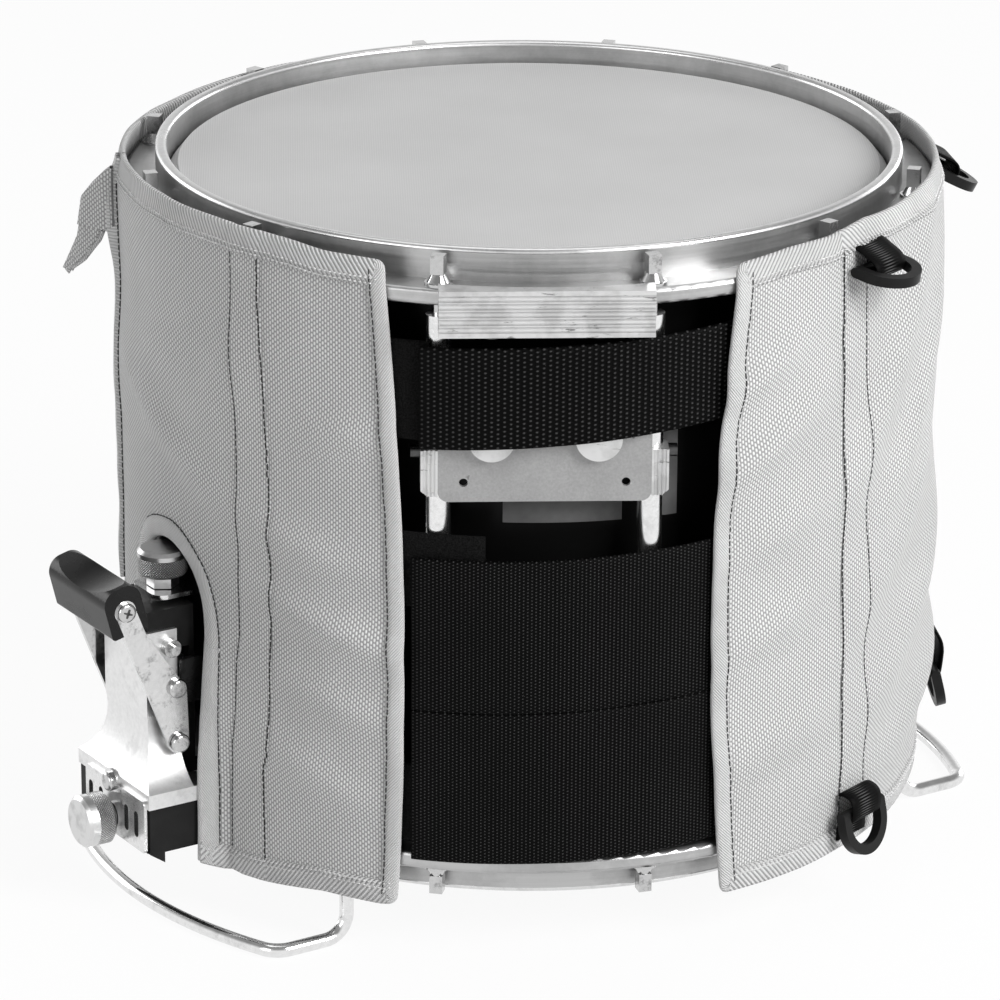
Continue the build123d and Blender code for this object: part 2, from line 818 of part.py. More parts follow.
def strainer_housing():
    front = column_front - column_sheet
    half = column_half_width - column_sheet
    body = block(-half, half, housing_back, front, skirt_top, housing_top)
    for side in (-1, 1):
        low, high = sorted((side * housing_foot_inner, side * half))
        foot = block(low, high, shell_radius, housing_back, skirt_top, lug_ring_level + lug_ring_thickness)
        body += foot - sector(0, lug_ring_radius, 0, drum_height, -housing_foot_turn, housing_foot_turn)
    body -= block(-slide_slot_half, slide_slot_half, housing_back - overrun, slide_slot_front,
                  slide_slot_bottom, slide_slot_top)
    body -= block(-half - overrun, half + overrun, slide_bar_inner - run_gap, slide_slot_front,
                  slide_slot_bottom, slide_slot_top)
    return body - pin(0, knob_offset, slide_slot_top - overrun, (0, 0, 1), knob_screw / 2 + thread_gap,
                      housing_top - slide_slot_top + 2 * overrun)


def slot_plate():
    face = skirt_front + slot_plate_thickness
    plate = block(slot_plate_left, slot_plate_right, skirt_front, face, slot_plate_bottom, slot_plate_top)
    plate = fillet(plate.edges().filter_by(Axis.Y), slot_width / 2)
    plate += pin(0, skirt_front, slot_plate_screw_level, (0, -1, 0), slot_plate_ear, slot_plate_thickness)
    start = skirt_front - overrun
    deep = slot_plate_thickness + 2 * overrun
    low = slot_level - (slot_height - slot_width) / 2
    high = slot_level + (slot_height - slot_width) / 2
    for across in slot_offsets:
        plate -= block(across - slot_width / 2, across + slot_width / 2, start, start + deep, low, high)
        plate -= pin(across, start, low, (0, -1, 0), slot_width / 2, deep)
        plate -= pin(across, start, high, (0, -1, 0), slot_width / 2, deep)
    return plate - pin(0, start, base_knob_level, (0, -1, 0), base_knob_screw / 2, deep)


def slot_plate_backing():
    """The base's front lies behind the skirt's, so a spacer fills the difference behind the plate."""
    spacer = block(slot_plate_left, slot_plate_right, base_front, skirt_front,
                   slot_plate_bottom, skirt_bottom)
    return spacer - pin(0, base_front - overrun, base_knob_level, (0, -1, 0), base_knob_screw / 2,
                        skirt_front - base_front + 2 * overrun)


def slot_plate_screw():
    face = skirt_front + slot_plate_thickness
    head = pin(0, face, slot_plate_screw_level, (0, -1, 0), bolt_head_radius, bolt_head_height)
    rim = [edge for edge in head.edges() if edge.center().Y < -face - bolt_head_height / 2]
    return fillet(rim, bolt_head_height / 2)


def top_plate():
    plate = block(-top_plate_half, top_plate_half, top_plate_inner, top_plate_front, top_plate_level,
                  top_plate_level + top_plate_thickness)
    plate = fillet(plate.edges().filter_by(Axis.Z), slot_plate_ear)
    riser_half = top_plate_half - slot_plate_ear
    riser = block(-riser_half, riser_half, housing_back, top_plate_front, housing_top, top_plate_level)
    bore = pin(0, knob_offset, housing_top - overrun, (0, 0, 1), knob_screw / 2 + thread_gap,
               top_plate_level - housing_top + top_plate_thickness + 2 * overrun)
    return plate + riser - bore


def tension_knob():
    foot = top_plate_level + top_plate_thickness + run_gap
    hexagon = Pos(0, -knob_offset, lip_base + foot) * RegularPolygon(knob_collar_radius, 6)
    collar = extrude(hexagon, amount=knob_collar_height)
    knob = knob_disc(knob_radius, knob_height)
    knob = Pos(0, -knob_offset, lip_base + foot + knob_collar_height) * knob
    shank = pin(0, knob_offset, foot - knob_screw_reach, (0, 0, 1), knob_screw / 2, knob_screw_reach)
    return collar + knob + shank


def knob_disc(radius, height):
    disc = Cylinder(radius, height, align=on_its_foot)
    return chamfer(disc.edges().filter_by(GeomType.CIRCLE), knob_chamfer)


def base_knob():
    face = skirt_front + slot_plate_thickness + run_gap
    collar = pin(0, face, base_knob_level, (0, -1, 0), base_knob_collar_radius, base_knob_collar_height)
    start = Plane(origin=(0, -face - base_knob_collar_height, lip_base + base_knob_level), z_dir=(0, -1, 0))
    knob = start * knob_disc(base_knob_radius, base_knob_height)
    shank = pin(0, face, base_knob_level, (0, 1, 0), base_knob_screw / 2 - thread_gap, base_knob_screw_reach)
    return collar + knob + shank


def leaned(outward, level):
    """Directions along and across the lever, which leans outward."""
    angle = radians(handle_lean_angle)
    return (handle_offset + level * sin(angle) + outward * cos(angle),
            handle_level + level * cos(angle) - outward * sin(angle))


def throw_off_handle():
    half = handle_width / 2
    outline = [leaned(-half, -handle_below), leaned(half, -handle_below), leaned(half, handle_above),
               leaned(-half, handle_above)]
    bar = side_plate(outline, -handle_half_length, handle_half_length)
    middle = lip_base + handle_level
    upper = [edge for edge in bar.edges().filter_by(Axis.X) if edge.center().Z > middle]
    bar = fillet(upper, handle_round)
    lower = [edge for edge in bar.edges().filter_by(Axis.X) if edge.center().Z < middle - handle_below / 2]
    bar = fillet(lower, handle_foot_round)
    reach = handle_half_length - arm_thickness
    saddle_radius = (reach ** 2 + handle_saddle ** 2) / (2 * handle_saddle)
    offset, level = leaned(half + overrun, handle_above - handle_saddle + saddle_radius)
    angle = radians(handle_lean_angle)
    inward = (0, cos(angle), sin(angle))
    bar -= pin(0, offset, level, inward, saddle_radius, handle_width + 2 * overrun)
    for side in (-1, 1):
        low, high = sorted((side * (arm_inner - arm_slot_gap), side * (handle_half_length + overrun)))
        bar -= arm_plate(low, high, arm_slot_gap)
    return bar


def arm_plate(low, high, extra=0.0):
    """A lever arm: an eye on the handle's screw, a wide cheek at the link and a round foot on the pivot."""
    eye = arm_round + extra
    cheek_top = link_level + arm_round
    waist_offset = pivot_offset + arm_waist_reach
    outline = [(handle_offset + eye, handle_level), (handle_offset - eye, handle_level),
               (waist_offset - extra, arm_waist_level), (pivot_offset - extra, cheek_top),
               (pivot_offset - arm_heel - extra, link_level),
               (pivot_offset - arm_round - extra, pivot_level),
               (pivot_offset + arm_round + extra, pivot_level)]
    plate = side_plate(outline, low, high)
    plate += pin(low, handle_offset, handle_level, (1, 0, 0), eye, high - low)
    return plate + pin(low, pivot_offset, pivot_level, (1, 0, 0), arm_round + extra, high - low)


def throw_off_arms():
    arms = []
    for side in (-1, 1):
        low, high = sorted((side * arm_inner, side * (arm_inner + arm_thickness)))
        plate = arm_plate(low, high)
        plate -= pin(low - overrun, pivot_offset, pivot_level, (1, 0, 0), bolt_shank / 2 + pivot_gap,
                     arm_thickness + 2 * overrun)
        arms.append(plate)
    return arms


def domed_head(across, outward, level, side):
    head = pin(across, outward, level, (side, 0, 0), bolt_head_radius, bolt_head_height)
    tip = [edge for edge in head.edges() if abs(edge.center().X - across) > bolt_head_height / 2]
    return fillet(tip, bolt_head_height / 2)


def lever_fasteners():
    """A screw in each end of the handle, and the rivet that carries the link on each arm."""
    pieces = []
    for side in (-1, 1):
        outer = side * handle_half_length
        pieces.append(domed_head(outer, handle_offset, handle_level, side))
        pieces.append(domed_head(outer, link_offset, link_level, side))
    return pieces


def strainer_bolts():
    """The pivots of the lever and the bolts above them, all fixed in the column's sides."""
    pieces = []
    for side in (-1, 1):
        wall = side * column_half_width
        bush = arm_inner - run_gap - column_half_width
        reach = arm_inner + arm_thickness + run_gap
        pivot = pin(wall, pivot_offset, pivot_level, (side, 0, 0), bush_radius, bush)
        pivot += pin(wall, pivot_offset, pivot_level, (side, 0, 0), bolt_shank / 2,
                     reach - column_half_width)
        pivot += domed_head(side * reach, pivot_offset, pivot_level, side)
        pieces.append(pivot)
        upper = pin(wall, upper_bolt_offset, upper_bolt_level, (side, 0, 0), bush_radius, bush)
        tip = side * (arm_inner - run_gap)
        upper += pin(tip, upper_bolt_offset, upper_bolt_level, (side, 0, 0), bolt_shank / 2,
                     bolt_head_height)
        pieces.append(upper)
    return pieces


def snare_slide():
    shank_room = knob_screw / 2 + thread_gap
    body = block(-slide_slot_half + run_gap, slide_slot_half - run_gap, slide_inner, slide_bar_front,
                 slide_bottom, slide_top)
    body += block(-slide_half_length, slide_half_length, slide_bar_inner, slide_bar_front,
                  slide_bottom, slide_top)
    return body - pin(0, knob_offset, slide_bottom - overrun, (0, 0, 1), shank_room,
                      slide_top - slide_bottom + 2 * overrun)


def slide_caps():
    caps = []
    for side in (-1, 1):
        low, high = sorted((side * slide_half_length, side * slide_cap_end))
        cap = block(low, high, slide_cap_inner, slide_cap_front, slide_cap_bottom, slide_cap_top)
        caps.append(fillet(cap.edges().filter_by(Axis.X), slide_cap_round))
    return caps


def snare_tape():
    outer = slide_inner
    return block(-tape_half_width, tape_half_width, outer - tape_thickness, outer, tape_bottom, slide_top)


def at_strainer(shape):
    return turned(shape, strainer_azimuth)


# Fabric cover

def edge_side(azimuths, shift, towards):
    """Everything on one side of a flap's bowed front edge, as a cutter through the front of the cover."""
    top_azimuth, middle_azimuth, bottom_azimuth = azimuths
    low = lip_base + cover_bottom - overrun
    high = lip_base + cover_top + overrun
    middle = (low + high) / 2
    top_x = cover_outer * sin(radians(top_azimuth)) + shift
    middle_x = cover_outer * sin(radians(middle_azimuth)) + shift
    bottom_x = cover_outer * sin(radians(bottom_azimuth)) + shift
    far = towards * cover_outer
    edge = ThreePointArc((top_x, 0, high), (middle_x, 0, middle), (bottom_x, 0, low))
    rest = Polyline((bottom_x, 0, low), (far, 0, low), (far, 0, high), (top_x, 0, high))
    return extrude(closed_face([edge, rest]), amount=2 * cover_outer, dir=(0, -1, 0))


def frame_band(start, end):
    """The binding band round the outside of a panel, before its window is cut."""
    return sector(cover_outer, binding_outer, cover_bottom, cover_top, start, end)


def window(start, end):
    low = cover_bottom + binding_width
    high = cover_top - binding_width
    return sector(cover_outer - overrun, binding_outer + overrun, low, high, start, end)


def cloth_angle(length):
    """The angle that a length takes along the cover's surface."""
    return degrees(length / cover_outer)


def left_flap():
    start = left_seam + cloth_angle(seam_gap / 2)
    panel = sector(cover_inner, cover_outer, cover_bottom, cover_top, start, 0)
    return panel - edge_side(left_edge_azimuths, 0, 1)


def left_flap_binding():
    start = left_seam + cloth_angle(seam_gap / 2)
    band = frame_band(start, 0) - edge_side(left_edge_azimuths, 0, 1)
    return band - (window(start - spare_turn, 0) - edge_side(left_edge_azimuths, -hem_width, 1))


def right_flap():
    end = right_seam - cloth_angle(seam_gap / 2)
    panel = sector(cover_inner, cover_outer, cover_bottom, cover_top, 0, end)
    return panel - edge_side(right_edge_azimuths, 0, -1)


def right_flap_binding():
    end = right_seam - cloth_angle(seam_gap / 2)
    band = frame_band(0, end) - edge_side(right_edge_azimuths, 0, -1)
    return band - (window(0, end + spare_turn) - edge_side(right_edge_azimuths, hem_width, -1))


def strainer_arch(extra=0.0):
    """The opening round the strainer: straight sides under an arch, wider behind than in front."""
    back_half = arch_back_half + extra
    front_half = arch_front_half + extra
    inner = cover_inner - overrun * 2
    outer = binding_outer + overrun * 2
    opening = block(-back_half, front_half, inner, outer, cover_bottom - overrun, arch_spring)
    crown_plane = Plane(origin=(0, -inner, lip_base + arch_spring), x_dir=(1, 0, 0), z_dir=(0, -1, 0))
    for left, right, half in ((-back_half, 0, back_half), (0, front_half, front_half)):
        crown = extrude(crown_plane * Ellipse(half, arch_rise + extra), amount=outer - inner)
        opening += crown & block(left, right, inner, outer, arch_spring, cover_top)
    return at_strainer(opening)


def panel_left(inner, outer, extra):
    front_of_slit = slit_azimuth + cloth_angle(slit_gap / 2 + extra)
    end = left_seam - cloth_angle(seam_gap / 2)
    panel = sector(inner, outer, cover_bottom, cover_top, front_of_slit, end)
    foot = slit_foot + slit_gap / 2 + extra
    low_strip = sector(inner - overrun, outer + overrun, cover_bottom - overrun, foot,
                       slit_azimuth - spare_turn, strainer_azimuth)
    return panel - low_strip - strainer_arch(extra)


def panel_back(inner, outer, extra):
    start = right_seam + cloth_angle(seam_gap / 2)
    back_of_slit = slit_azimuth - cloth_angle(slit_gap / 2 + extra)
    panel = sector(inner, outer, cover_bottom, cover_top, start, full_turn + back_of_slit)
    foot_top = slit_foot - slit_gap / 2 - extra
    foot = sector(inner, outer, cover_bottom, foot_top, back_of_slit, strainer_azimuth)
    return panel + (foot - strainer_arch(extra))


def left_panel_binding():
    whole = panel_left(cover_outer, binding_outer, 0)
    inside = panel_left(cover_outer - overrun, binding_outer + overrun, hem_width)
    return whole - (inside & window(slit_azimuth - spare_turn, left_seam + spare_turn))


def back_panel_binding():
    whole = panel_back(cover_outer, binding_outer, 0)
    inside = panel_back(cover_outer - overrun, binding_outer + overrun, hem_width)
    return whole - (inside & window(right_seam - spare_turn, full_turn + strainer_azimuth + spare_turn))


def leaned_from_slit(reaches, drops, inner, outer):
    """A flat plate that reaches back from the front side of the slit and leans out from the cover."""
    outline = [(-reach, cover_top - drop) for reach, drop in zip(reaches, drops)]
    stand = binding_outer + cloth_gap
    lean = Pos(0, -stand, 0) * Rot(0, 0, tab_lean_angle)
    return lean, front_plate(outline, inner, outer)


def slit_tab():
    lean, plate = leaned_from_slit(tab_reaches, tab_drops, 0, tab_thickness)
    free_edges = [edge for edge in plate.edges().filter_by(Axis.Y) if edge.center().X < -tab_corner]
    return turned(lean * fillet(free_edges, tab_corner), tab_azimuth)


def slit_hook_patch():
    lean, patch = leaned_from_slit(hook_patch_reaches, hook_patch_drops, -patch_thickness, 0)
    return turned(lean * patch, tab_azimuth)


def slit_loop_patch():
    return sector(cover_outer, cover_outer + patch_thickness, cover_top - loop_patch_foot_drop,
                  cover_top - loop_patch_top_drop, *loop_patch_azimuths)


# Straps

def strap_band():
    """The full-height band that the straps are cut from: it bends through their three bearing places."""
    places = [spot(strap_end_inner, strap_end_azimuth, 0), spot(strap_crown_inner, strap_crown_azimuth, 0),
              spot(strap_flap_inner, strap_flap_azimuth, 0)]
    centre = ThreePointArc(*places).arc_center
    inner = (places[0] - centre).length
    ring = Cylinder(inner + strap_thickness, drum_height) - Cylinder(inner, drum_height)
    return Pos(centre.X, centre.Y, lip_base + drum_height / 2) * ring


def strap_strip(start_x, end_x, left_x, left_levels, right_levels):
    """A strap seen from the front, from one place across to another; its levels run straight to the flap."""
    flap_x = cover_outer * sin(radians(strap_flap_azimuth))
    ends = []
    for across in (start_x, end_x):
        share = (across - left_x) / (flap_x - left_x)
        for index in (0, -1):
            left = left_levels[index]
            ends.append((across, left + (right_levels[index] - left) * share))
    low_start, high_start, low_end, high_end = ends
    return front_plate([low_start, low_end, high_end, high_start], 0, 2 * cover_outer)


def strap_joint_x():
    return cover_outer * sin(radians(strap_joint_azimuth))


def strap_end_x(azimuth):
    return strap_end_inner * sin(radians(azimuth))


def below_top(drops):
    """Levels from their drops below the top rim's lip."""
    return [drum_height - drop for drop in drops]


def upper_strap():
    end = strap_end_x(upper_strap_end_azimuth)
    return strap_band() & strap_strip(end, strap_joint_x(), end, below_top(upper_strap_left_drops),
                                      below_top(upper_strap_right_drops))


def lower_strap_webs():
    half_gap = strap_web_gap / 2
    left_low, left_seam_level, left_high = lower_strap_left
    right_low, right_seam_level, right_high = lower_strap_right
    levels = [((left_low, left_seam_level - half_gap), (right_low, right_seam_level - half_gap)),
              ((left_seam_level + half_gap, left_high), (right_seam_level + half_gap, right_high))]
    end = strap_end_x(lower_strap_end_azimuth)
    webs = []
    for left, right in levels:
        webs.append(strap_band() & strap_strip(end, strap_joint_x(), end, left, right))
    return webs


def strap_anchors():
    """The sewn ends of the straps, under the right flap."""
    start = strap_joint_x() + strap_joint_gap
    end = cover_outer * sin(radians(strap_anchor_azimuth))
    anchors = []
    upper = (upper_strap_end_azimuth, below_top(upper_strap_left_drops), below_top(upper_strap_right_drops))
    lower = (lower_strap_end_azimuth, lower_strap_left, lower_strap_right)
    for free_azimuth, left, right in (upper, lower):
        strip = strap_strip(start, end, strap_end_x(free_azimuth), left, right)
        anchors.append(strap_band() & strip)
    return anchors


def loop_tabs():
    """The black loop tabs inside the left flap that the straps close on."""
    inner = loop_tab_outer - loop_tab_thickness
    tabs = []
    for end, (low, high) in ((upper_tab_end_azimuth, below_top(upper_tab_drops)),
                             (lower_tab_end_azimuth, lower_tab_levels),
                             (foot_tab_end_azimuth, foot_tab_levels)):
        tabs.append(sector(inner, loop_tab_outer, low, high, loop_tab_root_azimuth, end))
    return tabs


# Rings

def webbing(points):
    """A webbing loop at the front: its line outward and up from the cover, thickened and given its width."""
    line = FilletPolyline(*points, radius=ring_tab_fold)
    plane = Plane(origin=(ring_tab_width / 2, -cover_outer, 0), x_dir=(0, -1, 0), z_dir=(-1, 0, 0))
    return extrude(plane * trace(line, ring_tab_web), amount=ring_tab_width)


def standing_tab():
    """Two layers that stand out from the cover, folded at the far end, with the bar between them."""
    root = cloth_gap + ring_tab_web / 2
    apart = ring_bar_radius + run_gap + ring_tab_web / 2
    fold = standing_tab_length - ring_tab_web / 2
    close = ring_tab_fold + cloth_gap
    bend = standing_bar_stand + ring_bar_radius
    return webbing([(root, apart), (bend, apart), (fold, close), (fold, -close), (bend, -apart),
                    (root, -apart)])


def hanging_tab():
    """A loop sewn to the cover above and below, which bulges out round the bar."""
    root = cloth_gap + ring_tab_web / 2
    bulge = hanging_tab_bulge - root
    points = []
    for rise_share, stand_share in zip(hanging_tab_rise_shares, hanging_tab_stand_shares):
        rise = (rise_share - hanging_bar_rise_share) * hanging_tab_height
        points.append((root + bulge * stand_share, rise))
    return webbing(points)


def d_ring():
    """One ring hanging straight down from the origin: a round bar and a bow."""
    half = ring_outer_width / 2
    inner_half = ring_inner_width / 2
    reach = ring_inner_length + ring_section
    outer_face = Pos(0, (half - reach) / 2) * Rectangle(ring_outer_width, reach - half)
    outer_face += Pos(0, half - reach) * Circle(half)
    inner_face = Pos(0, (inner_half - ring_inner_length) / 2) * Rectangle(ring_inner_width,
                                                                          ring_inner_length - inner_half)
    inner_face += Pos(0, inner_half - ring_inner_length) * Circle(inner_half)
    above = Pos(0, half) * Rectangle(2 * ring_outer_width, ring_outer_width)
    bow = extrude((outer_face - above) - (inner_face - above), amount=ring_section / 2, both=True)
    bar = Plane.YZ * Cylinder(ring_bar_radius, ring_outer_width)
    return Rot(90, 0, 0) * (bow + bar)


def placed_ring(index):
    stand = cover_outer + (standing_bar_stand if ring_stands_out[index] else hanging_bar_stand)
    ring = Pos(0, -stand, lip_base + ring_levels[index]) * Rot(-ring_tilt_angles[index], 0, 0) * d_ring()
    return turned(ring, ring_azimuths[index])


def ring_tabs():
    tabs = []
    for azimuth, level, stands_out in zip(ring_azimuths, ring_levels, ring_stands_out):
        tab = standing_tab() if stands_out else hanging_tab()
        tabs.append(turned(Pos(0, 0, lip_base + level) * tab, azimuth))
    return tabs


def build():
    top_rim, head, hoop = rim_upper(), head_upper(), hoop_upper()
    rods = round_the_lugs(tension_rod())
    washers = round_the_lugs(rod_washer())
    nodes = {
        "drum_shell": drum_shell(),
        "batter_head": head,
        "batter_hoop": hoop,
        "snare_side_head": both_ends(head)[1],
        "snare_side_hoop": both_ends(hoop)[1],
        "top_rim": top_rim,
        "bottom_rim": rim_lower(),
        "lug_ring": lug_ring(),
        "lug_tubes": group(round_the_lugs(lug_tube())),
        "top_tension_rods": group(rods),
        "bottom_tension_rods": group([both_ends(rod)[1] for rod in rods]),
        "rod_washers": group(washers + [both_ends(washer)[1] for washer in washers]),
        "snare_strands": group(snare_strands()),
        "strand_end_plates": group(strand_end_plates()),
        "butt_clamp": butt_clamp(),
        "strainer_side_guard": turned(snare_guard(), guard_azimuths[0]),
        "butt_side_guard": turned(snare_guard(), guard_azimuths[1]),
        "guard_nuts": group(guard_nuts()),
        "carrier_hook_block": carrier_hook_block(),
        "hook_block_screws": group(hook_block_screws()),
        "carrier_plate": carrier_plate(),
        "carrier_clamps": group(carrier_clamps()),
        "clamp_bolts": group(clamp_bolts()),
        "carrier_backing_bar": carrier_backing_bar(),
        "carrier_thumb_screws": group(carrier_thumb_screws()),
        "shell_pads": group(shell_pads()),
        "strainer_base": at_strainer(strainer_base() + slot_plate_backing()),
        "strainer_frame": at_strainer(strainer_frame()),
        "strainer_housing": at_strainer(strainer_housing()),
        "slot_plate": at_strainer(slot_plate()),
        "strainer_top_plate": at_strainer(top_plate()),
        "strainer_bolts": group([at_strainer(piece) for piece in strainer_bolts() + [slot_plate_screw()]]),
        "throw_off_handle": at_strainer(throw_off_handle()),
        "throw_off_arms": group([at_strainer(piece) for piece in throw_off_arms()]),
        "lever_fasteners": group([at_strainer(piece) for piece in lever_fasteners()]),
        "snare_slide": at_strainer(snare_slide()),
        "slide_caps": group([at_strainer(piece) for piece in slide_caps()]),
        "snare_tape": at_strainer(snare_tape()),
        "tension_knob": at_strainer(tension_knob()),
        "base_knob": at_strainer(base_knob()),
        "cover_back_panel": panel_back(cover_inner, cover_outer, 0),
        "cover_left_panel": panel_left(cover_inner, cover_outer, 0),
        "back_panel_binding": back_panel_binding(),
        "left_panel_binding": left_panel_binding(),
        "left_flap": left_flap(),
        "left_flap_binding": left_flap_binding(),
        "right_flap": right_flap(),
        "right_flap_binding": right_flap_binding(),
        "slit_tab": slit_tab(),
        "slit_hook_patch": slit_hook_patch(),
        "slit_loop_patch": slit_loop_patch(),
        "upper_strap": upper_strap(),
        "lower_strap": group(lower_strap_webs()),
        "strap_anchors": group(strap_anchors()),
        "loop_tabs": group(loop_tabs()),
        "ring_tabs": group(ring_tabs()),
    }
    for index, name in enumerate(ring_names):
        nodes[name] = placed_ring(index)
    return nodes


for name, shape in build().items():
    export_step(shape, f"parts/{name}.step")
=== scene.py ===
from math import cos, degrees, exp, hypot, pi, radians, sin, sqrt

import bmesh
import bpy
from mathutils import Matrix, Vector, noise


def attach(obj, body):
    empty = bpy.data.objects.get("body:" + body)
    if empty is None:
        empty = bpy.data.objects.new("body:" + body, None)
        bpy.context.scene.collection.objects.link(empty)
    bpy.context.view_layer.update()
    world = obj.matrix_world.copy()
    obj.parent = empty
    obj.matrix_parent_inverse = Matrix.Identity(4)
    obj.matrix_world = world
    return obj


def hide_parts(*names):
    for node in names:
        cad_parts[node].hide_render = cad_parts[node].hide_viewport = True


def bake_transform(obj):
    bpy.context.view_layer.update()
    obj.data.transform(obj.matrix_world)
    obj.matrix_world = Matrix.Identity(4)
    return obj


# A marching snare drum in its fitted fabric cover.
# Sizes are in millimetres and turn into metres where a point is placed.
# Azimuths are degrees from the front, positive towards +X.
# Levels are heights above the lip of the bottom rim.

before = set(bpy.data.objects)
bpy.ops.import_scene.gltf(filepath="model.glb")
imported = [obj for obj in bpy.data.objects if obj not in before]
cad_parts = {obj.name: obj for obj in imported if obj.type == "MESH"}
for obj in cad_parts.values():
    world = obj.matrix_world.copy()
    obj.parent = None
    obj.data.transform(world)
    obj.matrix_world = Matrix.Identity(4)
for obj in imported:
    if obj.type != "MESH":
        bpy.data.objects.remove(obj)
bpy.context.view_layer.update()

MM = 0.001
ROOT = "covered_drum"

# Camera, fitted to the photograph's two rims
CAMERA_PLACE = (-0.1149, -2.5726, 1.1071)
CAMERA_RIGHT = (0.99928, -0.03741, 0.00575)
CAMERA_FORWARD = (0.0371, 0.9384, -0.3435)
CAMERA_LENS = 195.44
CAMERA_SENSOR = 36.0

# Stage, in metres. The world's shades go from the horizon to overhead, as (share of the way up, shade).
FLOOR_HALF = 14.0
FLOOR_GLOW = 0.93
WORLD_LEVEL = 0.36
WORLD_SHADES = ((0.22, 1.0), (0.62, 0.32))
LAMP_AIM = (0, 0, 0.18)
LAMPS = [
    # name, place, size, power
    ("key", (1.7, -1.6, 1.6), 1.3, 76.0),
    ("fill", (-1.8, -1.9, 1.0), 1.4, 14.0),
    ("top", (0.0, 0.4, 2.3), 1.8, 12.0),
    ("back_left", (-2.1, 1.5, 0.8), 1.4, 20.0),
    ("back_right", (1.8, 2.0, 0.6), 1.4, 20.0),
]

# Drum, and the section of the polished skin over its rims' rolled lips
LIP_BASE = 31.5
DRUM_HEIGHT = 324.0
LIP_INNER = 178.6
LIP_OUTER = 184.0
LIP_ROUND = 2.0
LIP_SKIN = 0.12
LIP_FOOT_OUT = 0.5
LIP_FOOT_DROP = 2.5

# Cover
COVER_OUTER = 202.7
COVER_TOP = 316.0
CLOTH = 1.5
BINDING_WIDTH = 11.0
HEM_WIDTH = 7.5
ARCH_HEM = 9.0
SLIT_TAPE = 5.0
BINDING_SKIN = 0.8
LEFT_SEAM = -40.0
RIGHT_SEAM = 43.5
SEAM_INSET = 6.0
SLIT = -85.0
SLIT_HALF_GAP = 0.35
SLIT_FOOT = 103.0
SLIT_SEAM = 5.5
ARCH_AZIMUTH = -60.0
ARCH_FRONT_HALF = 31.0
ARCH_BACK_HALF = 38.5
ARCH_SPRING = 108.0
ARCH_RISE = 46.0
ARCH_STEPS = 48
# The flaps' bowed free edges: azimuths at the bottom, middle and top
LEFT_EDGE = (-20.2, -19.3, -22.2)
RIGHT_EDGE = (25.8, 23.6, 26.8)
CORNER = 3.2
GRID_STEP = 4.0

# Stitches: a stitch's share of its pitch and its half width for each thread, and the pitches
THREADS = {"black_thread": (1.0, 0.36), "grey_thread": (0.66, 0.42)}
SEAM_PITCH = 3.4
TAPE_PITCH = 2.6
TAB_PITCH = 2.2

# Strainer: distances from the drum's axis, levels and the tips of its screws
KNOB_OUT = 209.0
KNOB_FOOT = 136.1
KNOB_RADIUS = 12.3
BASE_KNOB_FOOT = 242.8
BASE_KNOB_LEVEL = 15.0
BASE_KNOB_RADIUS = 13.0
HANDLE_SCREW = (245.1, 132.0)
PIVOT_SCREW = (217.0, 58.7)
HEAD_TIP = 31.8
CROSS_HALF_LENGTH = 2.3
CROSS_HALF_WIDTH = 0.55
CROSS_DEPTH = 0.5
CROSS_RISE = 0.06
# The fabric tape behind the slide
TAPE_HALF = 12.5
TAPE_OUT = 202.5
TAPE_LEVELS = (2.0, 95.0)
TAPE_THICK = 0.7

# Straps: the circle that the front of them follows, seen from above
STRAP_CENTRE = (-1.216, -41.579)
STRAP_MIDDLE = 162.27
STRAP_THICK = 2.0
STRAP_BULGE = 0.7
STRAP_END_X = 96.0
STRAP_FLAP_X = 81.15
BAND_STEP = 3.0
# Each strap's left end, and its webs' levels there and at the right flap
UPPER_STRAP_X = -58.5
LOWER_STRAP_X = -62.0
UPPER_STRAP_WEBS = [((230.2, 280.6), (239.8, 286.9))]
LOWER_STRAP_WEBS = [((21.6, 98.95), (26.7, 103.95)), ((98.65, 176.0), (103.65, 180.9))]
# Patches inside the left flap: radius, levels, azimuths and thickness
LOOP_TABS = [(199.1, 233.5, 282.5, -27.0, -15.8, 1.8), (199.1, 150.0, 188.0, -27.0, -8.0, 1.8),
             (199.1, 30.0, 70.0, -27.0, -14.0, 1.8)]

# Closing tab of the slit. The tables give its reach at each drop below the cover's top.
TAB_AZIMUTH = -83.5
TAB_LEAN = 38.0
TAB_STAND = 205.7
TAB_CURL = 1.2
TAB_CLOTH = 1.6
TAB_DROP = 58.0
TAB_OUTER = [(0.0, 2.0), (8.0, 11.0), (17.0, 19.0), (30.0, 21.5), (38.0, 23.5), (48.0, 29.5),
             (TAB_DROP, 36.0)]
TAB_INNER = [(0.0, 0.0), (30.0, 0.0), (32.0, 8.0), (38.5, 11.0), (46.0, 17.5), (51.0, 22.0),
             (TAB_DROP, 32.5)]
# Its two leaves, which overlap: drops at the top and bottom, and how far each lies out
TAB_LEAVES = [(0.0, 32.0, 1.2), (26.0, TAB_DROP, 0.0)]
TAB_STITCH_IN = 4.2
HOOK_DROPS = (20.0, 52.0)
HOOK_OUT = -2.1
HOOK_THICK = 1.0
LOOP_PATCH_AZIMUTHS = (-96.0, -88.0)
LOOP_PATCH_LEVELS = (254.0, 292.0)
LOOP_PATCH_THICK = 1.0

